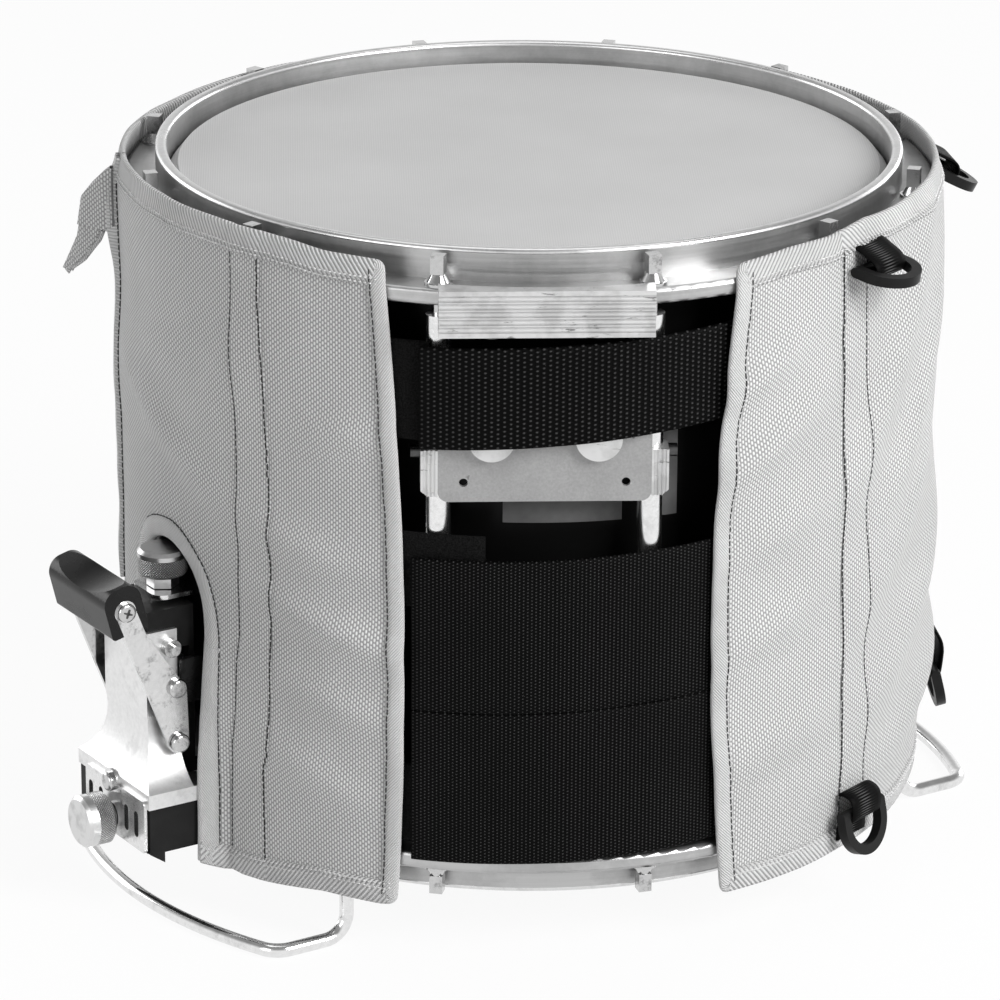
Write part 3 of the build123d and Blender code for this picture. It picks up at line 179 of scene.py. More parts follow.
# Rings: azimuth, level and the path of the webbing, as (distance out from the cover, height)
STANDING_PATH = [(0.4, 10.5), (2.0, 9.8), (6.5, 7.4), (12.6, 4.2), (14.0, 0.0), (12.0, -3.6), (7.1, -3.6),
                 (1.1, -3.6)]
LOW_PATH = [(0.6, 9.0), (5.0, 10.0), (10.5, 8.2), (11.8, 2.0), (10.8, -3.4), (6.0, -3.7), (1.2, -6.0),
            (0.8, -15.0)]
LOOSE_PATH = [(0.7, 27.5), (3.0, 27.5), (8.2, 22.0), (12.3, 14.0), (11.6, 4.0), (10.6, -2.6), (6.4, -3.4),
              (1.4, -2.0), (1.0, 9.0)]
RINGS = [(49.8, 299.9, STANDING_PATH), (49.0, 22.5, LOW_PATH), (95.0, 36.0, LOOSE_PATH),
         (98.0, 299.9, STANDING_PATH)]
RING_WEB_WIDTH = 23.6
RING_WEB_THICK = 1.6


def place(azimuth, level, radius):
    """A point in metres from an azimuth, a level and a distance from the drum's axis."""
    angle = radians(azimuth)
    return Vector((radius * sin(angle), -radius * cos(angle), LIP_BASE + level)) * MM


def arc(length):
    """The angle of a length along the cloth."""
    return degrees(length / COVER_OUTER)


def outward_at(azimuth):
    return Vector((sin(radians(azimuth)), -cos(radians(azimuth)), 0.0))


def at_strainer(across, out, level):
    """A point in metres in the strainer's own frame: across it, outward from the drum's axis, and level."""
    ahead = outward_at(ARCH_AZIMUTH)
    side = Vector((-ahead.y, ahead.x, 0.0))
    return (ahead * out + side * across + Vector((0, 0, LIP_BASE + level))) * MM


def smooth(low, high, value):
    share = min(1.0, max(0.0, (value - low) / (high - low)))
    return share * share * (3 - 2 * share)


def mix(first, last, share):
    return first + (last - first) * share


def spread(first, last, step):
    """Evenly spaced values from first to last, about a step apart."""
    count = max(1, round(abs(last - first) / step))
    return [mix(first, last, index / count) for index in range(count + 1)]


# Materials. Levels are grey, from 0 to 1, and stops are (value, share of the level).

KNURL_PITCH = 1.35
HEAD_WEAVE = 1.15


class Shader:
    """A grey material with a principled shader, and short ways to add and join nodes."""

    def __init__(self, name, level, roughness, metallic=0.0, **constant):
        self.material = bpy.data.materials.new(name)
        self.material.use_nodes = True
        self.tree = self.material.node_tree
        self.shader = self.tree.nodes["Principled BSDF"]
        self.set("Base Color", (level, level, level, 1.0))
        self.set("Roughness", roughness)
        self.set("Metallic", metallic)
        for key, value in constant.items():
            self.set(key.replace("_", " "), value)

    def set(self, socket, value):
        self.shader.inputs[socket].default_value = value

    def join(self, output, socket):
        self.tree.links.new(output, self.shader.inputs[socket])

    def node(self, kind, **settings):
        made = self.tree.nodes.new(kind)
        for key, value in settings.items():
            setattr(made, key, value)
        return made

    def feed(self, node, index, value):
        if isinstance(value, bpy.types.NodeSocket):
            self.tree.links.new(value, node.inputs[index])
        else:
            node.inputs[index].default_value = value

    def math(self, operation, first, second=0.0, third=0.0):
        made = self.node("ShaderNodeMath", operation=operation)
        for index, value in enumerate((first, second, third)):
            self.feed(made, index, value)
        return made.outputs[0]

    def times(self, first, second):
        return self.math("MULTIPLY", first, second)

    def wave(self, value):
        """The size of a sine."""
        return self.math("ABSOLUTE", self.math("SINE", value))

    def length(self, first, second):
        return self.math("SQRT", self.math("ADD", self.times(first, first), self.times(second, second)))

    def spot(self, kind="Object"):
        return self.node("ShaderNodeTexCoord").outputs[kind]

    def split(self, vector):
        made = self.node("ShaderNodeSeparateXYZ")
        self.feed(made, 0, vector)
        return made.outputs[:3]

    def vector(self, *parts):
        made = self.node("ShaderNodeCombineXYZ")
        for index, value in enumerate(parts):
            self.feed(made, index, value)
        return made.outputs[0]

    def noise(self, scale, detail=4.0, vector=None, roughness=0.55):
        made = self.node("ShaderNodeTexNoise")
        made.inputs["Scale"].default_value = scale
        made.inputs["Detail"].default_value = detail
        made.inputs["Roughness"].default_value = roughness
        self.feed(made, "Vector", vector or self.spot())
        return made.outputs["Fac"]

    def ramp(self, value, low, high, level=1.0):
        made = self.node("ShaderNodeValToRGB")
        for element, (position, share) in zip(made.color_ramp.elements, (low, high)):
            shade = share * level
            element.position = position
            element.color = (shade, shade, shade, 1.0)
        self.feed(made, 0, value)
        return made.outputs["Color"]

    def cloudy(self, scale, detail, level, low, high, roughness=0.55):
        """A ramp over noise."""
        return self.ramp(self.noise(scale, detail, roughness=roughness), low, high, level)

    def paint(self, tone, *others):
        """The base colour, as the product of tones."""
        for other in others:
            made = self.node("ShaderNodeMix", data_type="RGBA", blend_type="MULTIPLY")
            for index, value in ((0, 1.0), (6, tone), (7, other)):
                self.feed(made, index, value)
            tone = made.outputs[2]
        self.join(tone, "Base Color")

    def bump(self, height, depth):
        made = self.node("ShaderNodeBump")
        made.inputs["Strength"].default_value = 1.0
        made.inputs["Distance"].default_value = depth * MM
        self.feed(made, "Height", height)
        self.join(made.outputs[0], "Normal")

    def picks(self, across, along, set_on=0.5, sharp=1.2):
        """Height of the raised picks of a weave, in columns; each column is set on by a share of a pick."""
        u, v = self.split(self.spot("UV"))[:2]
        column = self.math("DIVIDE", u, across)
        turn = self.math("MODULO", self.math("ABSOLUTE", self.math("FLOOR", column)), 2.0)
        row = self.math("MULTIPLY_ADD", turn, set_on, self.math("DIVIDE", v, along))
        raised = (self.math("POWER", self.wave(self.times(each, pi)), sharp) for each in (column, row))
        return self.times(*raised)


def cloth_material(name, level):
    """Light grey ballistic cloth: a coarse plain weave, with a painted highlight on its upper picks and
    painted shade between them.
    """
    made = Shader(name, level, 0.82, Sheen_Weight=0.12)
    pick = made.picks(1.45, 2.4)
    # The weave's tone paints the raised picks lighter and the gaps between them darker: painted highlight
    # and painted shade.
    made.paint(made.cloudy(14.0, 5.0, level, (0.25, 0.92), (0.75, 1.05)),
               made.ramp(pick, (0.1, 0.46), (0.75, 1.12)))
    made.bump(pick, 0.35)
    return made.material


def binding_material(name, level, pitch, slope, painted_groove_shade, depth):
    """Ribbed tape, with its ribs on the slant and painted shade in the grooves between them."""
    made = Shader(name, level, 0.8, Sheen_Weight=0.1)
    u, v = made.split(made.spot("UV"))[:2]
    run = made.math("ADD", u, made.times(v, slope))
    rib = made.math("SINE", made.times(run, 2 * pi / pitch))
    height = made.math("MULTIPLY_ADD", rib, 0.5, 0.5)
    # The rib tone darkens the grooves between ribs: painted shade.
    made.paint(made.cloudy(30.0, 4.0, level, (0.3, 0.88), (0.7, 1.05)),
               made.ramp(height, (0.0, painted_groove_shade), (0.55, 1.04)))
    made.bump(height, depth)
    return made.material


def webbing_material(name, level, across, along, set_on=0.5):
    """Black webbing, with a painted highlight on its raised picks and painted shade between them."""
    made = Shader(name, level, 0.55, Specular_IOR_Level=0.05)
    pick = made.picks(across, along, set_on, 2.0)
    # Raised picks are painted many times lighter than the gaps: painted highlight, and painted shade
    # between them.
    made.paint(made.ramp(pick, (0.45, 0.4), (0.95, 20.0), level),
               made.cloudy(25.0, 4.0, 1.0, (0.3, 0.75), (0.7, 1.1)))
    made.bump(pick, 0.5)
    return made.material


def pile_material(name, level):
    """Hook or loop: a fine matted pile."""
    made = Shader(name, level, 0.9, Specular_IOR_Level=0.05)
    pile = made.noise(1400.0, 3.0)
    made.paint(made.ramp(pile, (0.35, 0.4), (0.7, 2.4), level))
    made.bump(pile, 0.5)
    return made.material


def thread_material(name, level):
    made = Shader(name, level, 0.6)
    made.paint(made.cloudy(900.0, 2.0, level, (0.3, 0.7), (0.7, 1.3)))
    return made.material


def metal_material(name, level, roughness, streak=0.12, dirt=0.25, scratch=0.02):
    """Bright metal with faint smears, fine scratches and a little dirt."""
    made = Shader(name, level, roughness, 1.0)
    fine = made.noise(420.0, 3.0)
    made.paint(made.cloudy(90.0, 7.0, level, (0.36, 1 - dirt), (0.47, 1.0), 0.7),
               made.ramp(fine, (0.2, 0.9), (0.8, 1.05)))
    smear = made.cloudy(35.0, 6.0, 1.0, (0.3, max(0.03, roughness - streak)), (0.7, roughness + streak))
    made.join(smear, "Roughness")
    made.bump(fine, scratch)
    return made.material


def rim_material(name, level, roughness):
    """Rolled aluminium, brushed round the drum and worn."""
    made = Shader(name, level, roughness, 1.0)
    across, outward, height = made.split(made.spot())
    angle = made.math("ARCTAN2", outward, across)
    lines = made.vector(made.times(angle, 0.9), made.times(made.length(across, outward), 420.0),
                        made.times(height, 420.0))
    brushed = made.noise(1.0, 6.0, lines, 0.7)
    made.paint(made.cloudy(26.0, 7.0, level, (0.38, 0.8), (0.56, 1.0), 0.7),
               made.ramp(brushed, (0.3, 0.86), (0.7, 1.06)))
    made.join(made.ramp(brushed, (0.25, roughness - 0.08), (0.75, roughness + 0.12)), "Roughness")
    made.bump(brushed, 0.05)
    return made.material


def bracket_material(name, level, roughness):
    """Cast and milled aluminium with dark scuffs across its length."""
    made = Shader(name, level, roughness, 0.75)
    stretched = made.node("ShaderNodeMapping")
    stretched.inputs["Scale"].default_value = (50.0, 50.0, 300.0)
    made.feed(stretched, 0, made.spot())
    scuff = made.noise(1.0, 6.0, stretched.outputs[0], 0.75)
    made.paint(made.cloudy(70.0, 5.0, level, (0.4, 0.8), (0.55, 1.0)),
               made.ramp(scuff, (0.34, 0.25), (0.4, 1.0)))
    made.bump(scuff, 0.1)
    return made.material


def plate_material(name, level):
    """A dull anodised plate with fine speckles, faint smears and a few dark spots, painted shade standing
    for dents.
    """
    made = Shader(name, level, 0.5, 0.35)
    speckle = made.noise(900.0, 2.0)
    # The last tone puts a few dark spots on the plate: painted shade standing for dents.
    made.paint(made.cloudy(45.0, 6.0, level, (0.3, 0.9), (0.7, 1.08)),
               made.ramp(speckle, (0.3, 0.9), (0.7, 1.05)),
               made.cloudy(160.0, 2.0, 1.0, (0.26, 0.35), (0.31, 1.0)))
    made.bump(speckle, 0.03)
    return made.material


def knurled_material(name, level, foot, axis, radius, band):
    """A turned metal cap whose side is knurled over a band above its foot, with painted shade in the
    knurl's valleys.
    """
    made = Shader(name, level, 0.3, 1.0)
    spot = made.node("ShaderNodeVectorMath", operation="SUBTRACT")
    made.feed(spot, 0, made.spot())
    spot.inputs[1].default_value = foot
    axis = Vector(axis).normalized()
    side = axis.orthogonal().normalized()
    parts = []
    for direction in (axis, side, axis.cross(side)):
        dot = made.node("ShaderNodeVectorMath", operation="DOT_PRODUCT")
        made.feed(dot, 0, spot.outputs[0])
        dot.inputs[1].default_value = direction
        parts.append(dot.outputs["Value"])
    along, across, other = parts
    ridges = round(2 * pi * radius / KNURL_PITCH)
    turn = made.times(made.math("ARCTAN2", other, across), ridges / 2)
    climb = made.times(along, pi / (KNURL_PITCH * MM))
    crossed = made.times(*(made.wave(made.math(way, turn, climb)) for way in ("ADD", "SUBTRACT")))
    inside = made.times(made.math("GREATER_THAN", along, band[0] * MM),
                        made.math("LESS_THAN", along, band[1] * MM))
    outer = made.math("GREATER_THAN", made.length(across, other), radius * 0.93 * MM)
    inside = made.times(inside, outer)
    height = made.times(crossed, inside)
    plain = made.math("MULTIPLY_ADD", inside, -0.55, 1.0)
    painted_groove_shade = made.math("MAXIMUM", made.math("POWER", height, 0.5), plain)
    # The knurl's valleys, and so the band they lie in, are painted darker than its ridges: painted shade.
    made.paint(made.cloudy(110.0, 6.0, level, (0.32, 0.7), (0.5, 1.0)),
               made.ramp(painted_groove_shade, (0.25, 0.1), (0.85, 1.08)))
    made.bump(height, 0.8)
    return made.material


def head_material(name, level):
    """A drumhead of fine woven fibre."""
    made = Shader(name, level, 0.6, Specular_IOR_Level=0.3)
    rows = []
    for part in made.split(made.spot())[:2]:
        wave = made.math("SINE", made.times(part, 2 * pi / (HEAD_WEAVE * MM)))
        rows.append(made.math("MULTIPLY_ADD", wave, 0.5, 0.5))
    mesh = made.times(*rows)
    made.paint(made.cloudy(9.0, 5.0, level, (0.3, 0.94), (0.7, 1.04)),
               made.ramp(mesh, (0.0, 0.9), (0.5, 1.03)))
    made.bump(mesh, 0.06)
    return made.material


def plastic_material(name, level, roughness, shine):
    made = Shader(name, level, roughness, Specular_IOR_Level=shine)
    scuff = made.noise(60.0, 6.0)
    made.paint(made.ramp(scuff, (0.3, level), (0.8, level * 1.8 + 0.004)))
    made.join(made.ramp(scuff, (0.3, roughness), (0.7, min(1.0, roughness + 0.18))), "Roughness")
    made.bump(made.noise(700.0, 2.0), 0.03)
    return made.material


def shell_material(name, level):
    made = Shader(name, level, 0.3, Specular_IOR_Level=0.1)
    made.paint(made.cloudy(8.0, 4.0, level, (0.3, 0.7), (0.7, 1.5)))
    return made.material


MATERIALS = {
    "cloth": cloth_material("grey_cloth", 0.63),
    "binding": binding_material("ribbed_binding", 0.60, 2.5, 0.8, 0.45, 0.55),
    "hem": binding_material("fine_ribbed_binding", 0.60, 1.6, -1.2, 0.68, 0.3),
    "webbing": webbing_material("black_webbing", 0.0025, 3.0, 2.3),
    "lower_webbing": webbing_material("black_wide_webbing", 0.0025, 1.95, 1.65),
    "ring_webbing": webbing_material("black_ring_webbing", 0.005, 1.3, 20.0, 0.0),
    "pile": pile_material("hook_and_loop", 0.005),
    "black_thread": thread_material("black_thread", 0.012),
    "grey_thread": thread_material("grey_thread", 0.62),
    "head": head_material("woven_head", 0.58),
    "rim": rim_material("rolled_aluminium", 0.50, 0.38),
    "lip": metal_material("polished_lip", 0.70, 0.30, 0.06, 0.12, 0.02),
    "chrome": metal_material("bright_chrome", 0.80, 0.12, 0.05, 0.15, 0.01),
    "rod": metal_material("plated_rod", 0.58, 0.14, 0.08, 0.5, 0.03),
    "arm": metal_material("polished_arm", 0.70, 0.16, 0.08, 0.55, 0.02),
    "steel": metal_material("plated_steel", 0.78, 0.22, 0.10, 0.30, 0.03),
    "cast": metal_material("cast_aluminium", 0.80, 0.40, 0.08, 0.12, 0.03),
    "bracket": bracket_material("scuffed_aluminium", 0.64, 0.42),
    # Blackened screws, and also the painted shade of the crossed slots in screw heads.
    "blackened_metal_and_slot_shade": metal_material("blackened_screw_and_slot_shade", 0.10, 0.35),
    "shell": shell_material("dark_lacquer", 0.003),
    "rubber": plastic_material("grey_rubber", 0.09, 0.75, 0.1),
    "black": plastic_material("black_plastic", 0.008, 0.36, 0.12),
    "gloss": plastic_material("gloss_black", 0.004, 0.14, 0.22),
    "ring": plastic_material("black_ring", 0.005, 0.3, 0.14),
    "tube": metal_material("satin_tube", 0.84, 0.22, 0.06, 0.12, 0.02),
    "plate": plate_material("dull_plate", 0.31),
    "top_knob": knurled_material("knurled_cap", 0.52, at_strainer(0.0, KNOB_OUT, KNOB_FOOT),
                                 (0.0, 0.0, 1.0), KNOB_RADIUS, (0.4, 9.4)),
    "base_knob": knurled_material("knurled_base_cap", 0.62,
                                  at_strainer(0.0, BASE_KNOB_FOOT, BASE_KNOB_LEVEL),
                                  outward_at(ARCH_AZIMUTH), BASE_KNOB_RADIUS, (0.4, 9.5)),
}

CAD_FINISH = {
    "head": ["batter_head", "snare_side_head"],
    "rim": ["top_rim", "bottom_rim", "lug_ring", "batter_hoop", "snare_side_hoop", "butt_clamp"],
    "tube": ["lug_tubes"],
    "chrome": ["strainer_side_guard", "butt_side_guard"],
    "rod": ["top_tension_rods", "bottom_tension_rods", "rod_washers", "guard_nuts", "strainer_bolts",
            "lever_fasteners"],
    "steel": ["strand_end_plates", "snare_strands", "slot_plate", "strainer_top_plate"],
    "arm": ["throw_off_arms"],
    "cast": ["snare_slide", "strainer_frame"],
    "top_knob": ["tension_knob"],
    "base_knob": ["base_knob"],
    "plate": ["carrier_plate"],
    "bracket": ["carrier_hook_block", "carrier_clamps", "carrier_backing_bar", "carrier_thumb_screws"],
    "blackened_metal_and_slot_shade": ["hook_block_screws", "clamp_bolts"],
    "shell": ["drum_shell"],
    "rubber": ["shell_pads"],
    "black": ["strainer_base", "strainer_housing"],
    "gloss": ["throw_off_handle", "slide_caps"],
    "ring": ["top_right_ring", "bottom_right_ring", "side_ring", "back_ring"],
}


def finish_cad_nodes():
    for finish, names in CAD_FINISH.items():
        for name in names:
            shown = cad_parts[name]
            shown.data.materials.clear()
            shown.data.materials.append(MATERIALS[finish])


BEVELS = {
    "throw_off_handle": 1.2, "strainer_frame": 0.8, "strainer_base": 0.8, "slot_plate": 0.4,
    "carrier_hook_block": 0.4, "carrier_plate": 0.4, "carrier_clamps": 0.4, "throw_off_arms": 0.5,
    "strainer_housing": 0.6, "top_tension_rods": 0.5, "bottom_tension_rods": 0.5, "slide_caps": 0.6,
    "strainer_top_plate": 0.5, "carrier_thumb_screws": 0.4, "guard_nuts": 0.3, "tension_knob": 0.3,
    "base_knob": 0.3,
}


def soften_cad_edges():
    for name, width in BEVELS.items():
        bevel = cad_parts[name].modifiers.new("edge", "BEVEL")
        bevel.width = width * MM
        bevel.segments = 2
        bevel.limit_method = "ANGLE"
        bevel.angle_limit = radians(40)


# Mesh making

def mesh_object(name, made, finish, smooth_faces=True):
    mesh = bpy.data.meshes.new(name)
    made.to_mesh(mesh)
    made.free()
    if smooth_faces:
        mesh.polygons.foreach_set("use_smooth", [True] * len(mesh.polygons))
    mesh.materials.append(MATERIALS[finish])
    shown = bpy.data.objects.new(name, mesh)
    bpy.context.collection.objects.link(shown)
    return shown


def closed_object(name, made, finish, smooth_faces=True):
    bmesh.ops.recalc_face_normals(made, faces=made.faces)
    return mesh_object(name, made, finish, smooth_faces)


def add_grid(made, points, coordinates, close=False, finish=0):
    """Faces between rows of points; coordinates are the same rows in the cloth's own millimetres."""
    layer = made.loops.layers.uv.verify()
    rows = [[made.verts.new(point) for point in row] for row in points]
    count = len(rows)
    for index in range(count if close else count - 1):
        following = (index + 1) % count
        for step in range(len(rows[0]) - 1):
            corners = [(index, step), (following, step), (following, step + 1), (index, step + 1)]
            face = made.faces.new([rows[row][column] for row, column in corners])
            face.material_index = finish
            for loop, (row, column) in zip(face.loops, corners):
                loop[layer].uv = coordinates[row][column]
    return rows


def thicken(shown, thickness):
    """Gives an open mesh its thickness, inward from its face."""
    solid = shown.modifiers.new("thickness", "SOLIDIFY")
    solid.thickness = thickness * MM
    solid.offset = -1.0
    graph = bpy.context.evaluated_depsgraph_get()
    mesh = bpy.data.meshes.new_from_object(shown.evaluated_get(graph))
    shown.modifiers.clear()
    shown.data = mesh


# The cover's surface

CREASES = [
    # azimuth, level, half length, half width, slope, height
    (-33.0, 172.0, 30.0, 9.0, -8.0, 1.0),
    (-30.0, 135.0, 34.0, 8.0, -14.0, 1.3),
    (-29.0, 96.0, 30.0, 9.0, -12.0, 0.9),
    (-32.0, 58.0, 34.0, 10.0, -20.0, 0.8),
    (-28.0, 230.0, 26.0, 8.0, 12.0, 0.9),
    (-68.0, 240.0, 50.0, 14.0, 20.0, 0.9),
    (-60.0, 205.0, 50.0, 10.0, -25.0, 1.0),
    (-47.0, 250.0, 30.0, 12.0, 60.0, 0.6),
    (31.0, 262.0, 30.0, 9.0, 24.0, 1.2),
    (33.0, 226.0, 34.0, 9.0, 30.0, 1.3),
    (35.0, 180.0, 32.0, 10.0, 18.0, 0.8),
    (33.0, 130.0, 30.0, 9.0, 24.0, 1.0),
    (35.0, 70.0, 34.0, 12.0, 14.0, 0.9),
    (60.0, 255.0, 80.0, 13.0, 58.0, 1.8),
    (66.0, 215.0, 80.0, 12.0, 52.0, 1.6),
    (62.0, 160.0, 70.0, 12.0, 44.0, 1.4),
    (68.0, 110.0, 80.0, 15.0, 36.0, 1.5),
    (74.0, 60.0, 60.0, 13.0, 24.0, 1.2),
    (120.0, 200.0, 90.0, 15.0, 30.0, 1.5),
    (150.0, 120.0, 90.0, 15.0, -26.0, 1.5),
    (190.0, 220.0, 90.0, 14.0, 24.0, 1.4),
    (225.0, 140.0, 90.0, 15.0, -34.0, 1.5),
    (255.0, 230.0, 60.0, 12.0, -20.0, 1.2),
]

# The sewn lines: (level, azimuth)
SEAM_ONE = [(3, -46.8), (39, -46.8), (61, -46.5), (74, -45.9), (105, -45.5), (120, -44.8), (178, -44.9),
            (316, -46.0)]
SEAM_TWO = [(6, -40.4), (53, -40.5), (62, -39.5), (92, -39.2), (140, -38.7), (183, -39.0), (316, -41.0)]
SEAM_THREE = [(0, 46.5), (316, 44.3)]
SEAM_FOUR = [(0, 52.3), (316, 49.5)]
# How far the strip beside the strainer turns outward: (level, degrees)
LEAN = [(0, 52.0), (40, 46.0), (60, 28.0), (78, 18.0), (110, 7.0), (145, 0.0)]
LEAN_REACH = 20.0
# How far the lower edge sags: (azimuth, millimetres)
SAG = [(-52.0, 0.0), (-51.0, -1.5), (-48.0, -4.5), (-45.0, -6.0), (-41.0, -5.5), (-36.0, -3.5),
       (-31.0, -1.7), (-22.0, -2.3), (-18.0, 0.0), (23.0, -1.4), (32.0, -0.5), (39.0, 0.7), (47.0, 2.6),
       (54.0, 3.8), (60.0, 4.0), (68.0, 5.5), (80.0, 8.0), (95.0, 7.0), (120.0, 1.0)]
# How far the lower edge is pulled in: (azimuth, millimetres)
TUCK = [(50.0, 0.0), (70.0, 2.5), (85.0, 4.5), (100.0, 3.5), (125.0, 0.0)]
# How far the top edge is pulled up: (azimuth, millimetres)
RISE = [(-180.0, 0.5), (-115.0, 1.0), (-95.0, 4.0), (-75.0, 6.0), (-60.0, 6.4), (-42.0, 6.6), (-36.0, 5.6),
        (-31.0, 3.6), (-20.0, 2.4), (24.0, -2.4), (27.0, -2.0), (30.0, -0.8), (35.0, 1.2), (42.5, 1.3),
        (46.0, 3.4), (49.0, 4.4), (53.0, 3.7), (61.0, 3.4), (90.0, 3.0), (120.0, 0.5), (180.0, 0.5)]
# How far from an edge each of these reaches, and how far the top edge is pulled in
SAG_REACH = 60
TUCK_REACH = 75
RISE_START = 180
PULL_IN = 2.3
PULL_REACH = 14
EDGE_WAVE = 0.6
# How far the cloth stands off its cylinder, its folds and waves, and the calm strip along both edges
COVER_EASE = 0.5
FOLD_DEPTH = 4.2
WAVE_DEPTH = 1.2
CALM_EDGE = 16
# The folded strips between sewn lines, the grooves along these, in degrees, and the bulge over the arch
SEAM_RAISE = 0.7
GROOVE_DEPTH = 0.5
GROOVE_HALF = 0.28
CROWN_BULGE = 3.0


def along(table, value):
    """A value read from a table of (place, value), straight between its rows."""
    for (low, first), (high, last) in zip(table, table[1:]):
        if value <= high:
            return mix(first, last, min(1.0, max(0.0, (value - low) / (high - low))))
    return table[-1][1]


def flat(azimuth):
    """Millimetres along the cloth from the front."""
    return radians(azimuth) * COVER_OUTER


def creases(azimuth, level):
    total = 0.0
    for centre, middle, half_length, half_width, slope, height in CREASES:
        across = flat((azimuth - centre + 180) % 360 - 180)
        if abs(across) > 3 * half_length:
            continue
        angle = radians(slope)
        rise = level - middle
        length = across * cos(angle) + rise * sin(angle)
        off = -across * sin(angle) + rise * cos(angle)
        total += height * exp(-(length / half_length) ** 2 - (off / half_width) ** 2)
    return total


def stand(turn, level):
    """How far the cloth stands out from its plain cylinder."""
    inside = smooth(0, CALM_EDGE, level) * smooth(0, CALM_EDGE, COVER_TOP - level)
    spot = Vector((radians(turn) * 3.2, level / 62.0, 1.7))
    soft = noise.noise(spot) * 0.9 + noise.noise(spot * 2.3) * 0.35
    raised = 0.0
    for first, last in ((SEAM_ONE, SEAM_TWO), (SEAM_THREE, SEAM_FOUR)):
        start, end = along(first, level), along(last, level)
        between = smooth(start - 0.2, start + 0.15, turn) * (1 - smooth(end - 0.15, end + 0.2, turn))
        grooves = exp(-((turn - start) / GROOVE_HALF) ** 2) + exp(-((turn - end) / GROOVE_HALF) ** 2)
        raised += SEAM_RAISE * between - GROOVE_DEPTH * grooves
    crown = exp(-((turn - ARCH_AZIMUTH) / 8) ** 2 - ((level - ARCH_SPRING - ARCH_RISE) / 16) ** 2)
    folds = FOLD_DEPTH * creases(turn, level) + WAVE_DEPTH * soft
    return COVER_EASE + inside * folds + raised * smooth(0, 5, level) + CROWN_BULGE * crown


def on_cover(u, v, out=0.0):
    """A point of the cover: so far along its cloth, up it, and out from it."""
    turn = (degrees(u / COVER_OUTER) + 180) % 360 - 180
    radius = COVER_OUTER + stand(turn, v)
    reach = flat(along(SEAM_ONE, v) - turn)
    lean = 0.0
    if 0 < reach < 3 * LEAN_REACH:
        lean = radians(along(LEAN, v)) * smooth(-1.0, 3.0, reach)
        part = min(reach, LEAN_REACH) * (1 - smooth(LEAN_REACH, 3 * LEAN_REACH, reach))
        u += part * (1 - cos(lean))
        radius += part * sin(lean)
    shift = along(SAG, turn) * (1 - smooth(0, SAG_REACH, v))
    shift += EDGE_WAVE * noise.noise(Vector((turn / 9, v / 160, 9)))
    shift += along(RISE, turn) * smooth(RISE_START, COVER_TOP - BINDING_WIDTH, v)
    radius -= PULL_IN * smooth(COVER_TOP - PULL_REACH, COVER_TOP, v)
    radius -= along(TUCK, turn) * (1 - smooth(0, TUCK_REACH, v))
    return place(degrees((u + out * sin(lean)) / COVER_OUTER), v + shift, radius + out * cos(lean))


def edge_azimuth(edge, level):
    """The bowed front edge of a flap, through its bottom, middle and top."""
    bottom, middle, top = edge
    share = level / COVER_TOP
    over = max(0.0, level - COVER_TOP + CORNER, CORNER - level)
    rounded = CORNER - sqrt(CORNER ** 2 - min(over, CORNER) ** 2)
    return (bottom * (1 - share) * (1 - 2 * share) + middle * 4 * share * (1 - share)
            + top * share * (2 * share - 1)) + (arc(rounded) if bottom > 0 else -arc(rounded))


def arch_half(angle):
    return ARCH_FRONT_HALF if cos(angle) > 0 else ARCH_BACK_HALF


def arch_line(inset):
    """Round the arch from its back leg to its front leg, kept out from its edge by an inset."""
    made = []
    for angle in spread(pi, 0.0, pi / ARCH_STEPS):
        across = (arch_half(angle) + inset) * cos(angle)
        made.append((flat(ARCH_AZIMUTH) + across, ARCH_SPRING + (ARCH_RISE + inset) * sin(angle)))
    return made


def column_shares(width):
    """Places across a width, as shares of it: close together at both sides, where cloth is sewn."""
    near = (0.0, 0.35, 0.9, 1.7, 2.8)
    middle = spread(near[-1], width - near[-1], GRID_STEP)
    places = [*near[:-1], *middle, *(width - step for step in reversed(near[:-1]))]
    return [each / width for each in places]


def cloth_between(made, left, right, low, high):
    """Cloth between two upright lines, given as azimuths at a level, from a level to a level."""
    levels = spread(low, high, GRID_STEP)
    points, coordinates = [], []
    middle = COVER_TOP / 2
    for share in column_shares(flat(right(middle) - left(middle))):
        places = [(flat(mix(left(level), right(level), share)), level) for level in levels]
        points.append([on_cover(u, v) for u, v in places])
        coordinates.append(places)
    add_grid(made, points, coordinates)


def straight(azimuth):
    return lambda level: azimuth


def line_of(table):
    return lambda level: along(table, level)


def edge_of(edge):
    return lambda level: edge_azimuth(edge, level)


def orient(made):
    """Turns every face of an open shell outward from the drum's axis."""
    bmesh.ops.remove_doubles(made, verts=made.verts, dist=0.05 * MM)
    for face in made.faces:
        centre = face.calc_center_median()
        face.normal_update()
        if face.normal.dot(Vector((centre.x, centre.y, 0))) < 0:
            face.normal_flip()


def cloth_piece(name, made, nodes, width):
    orient(made)
    shown = mesh_object(name, made, "cloth")
    thicken(shown, CLOTH)
    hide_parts(*nodes)
    return shown


def back_panel():
    made = bmesh.new()
    slit_back = 360 + SLIT - arc(SLIT_HALF_GAP)
    leg = 360 + ARCH_AZIMUTH - arc(ARCH_BACK_HALF)
    for low, high in ((0.0, SLIT_FOOT), (SLIT_FOOT, COVER_TOP)):
        cloth_between(made, line_of(SEAM_THREE), line_of(SEAM_FOUR), low, high)
        cloth_between(made, line_of(SEAM_FOUR), straight(slit_back), low, high)
    cloth_between(made, straight(slit_back), straight(leg), 0.0, SLIT_FOOT)
    shown = cloth_piece("back_panel_cloth", made, ["cover_back_panel"], flat(leg - RIGHT_SEAM))
    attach(shown, ROOT)


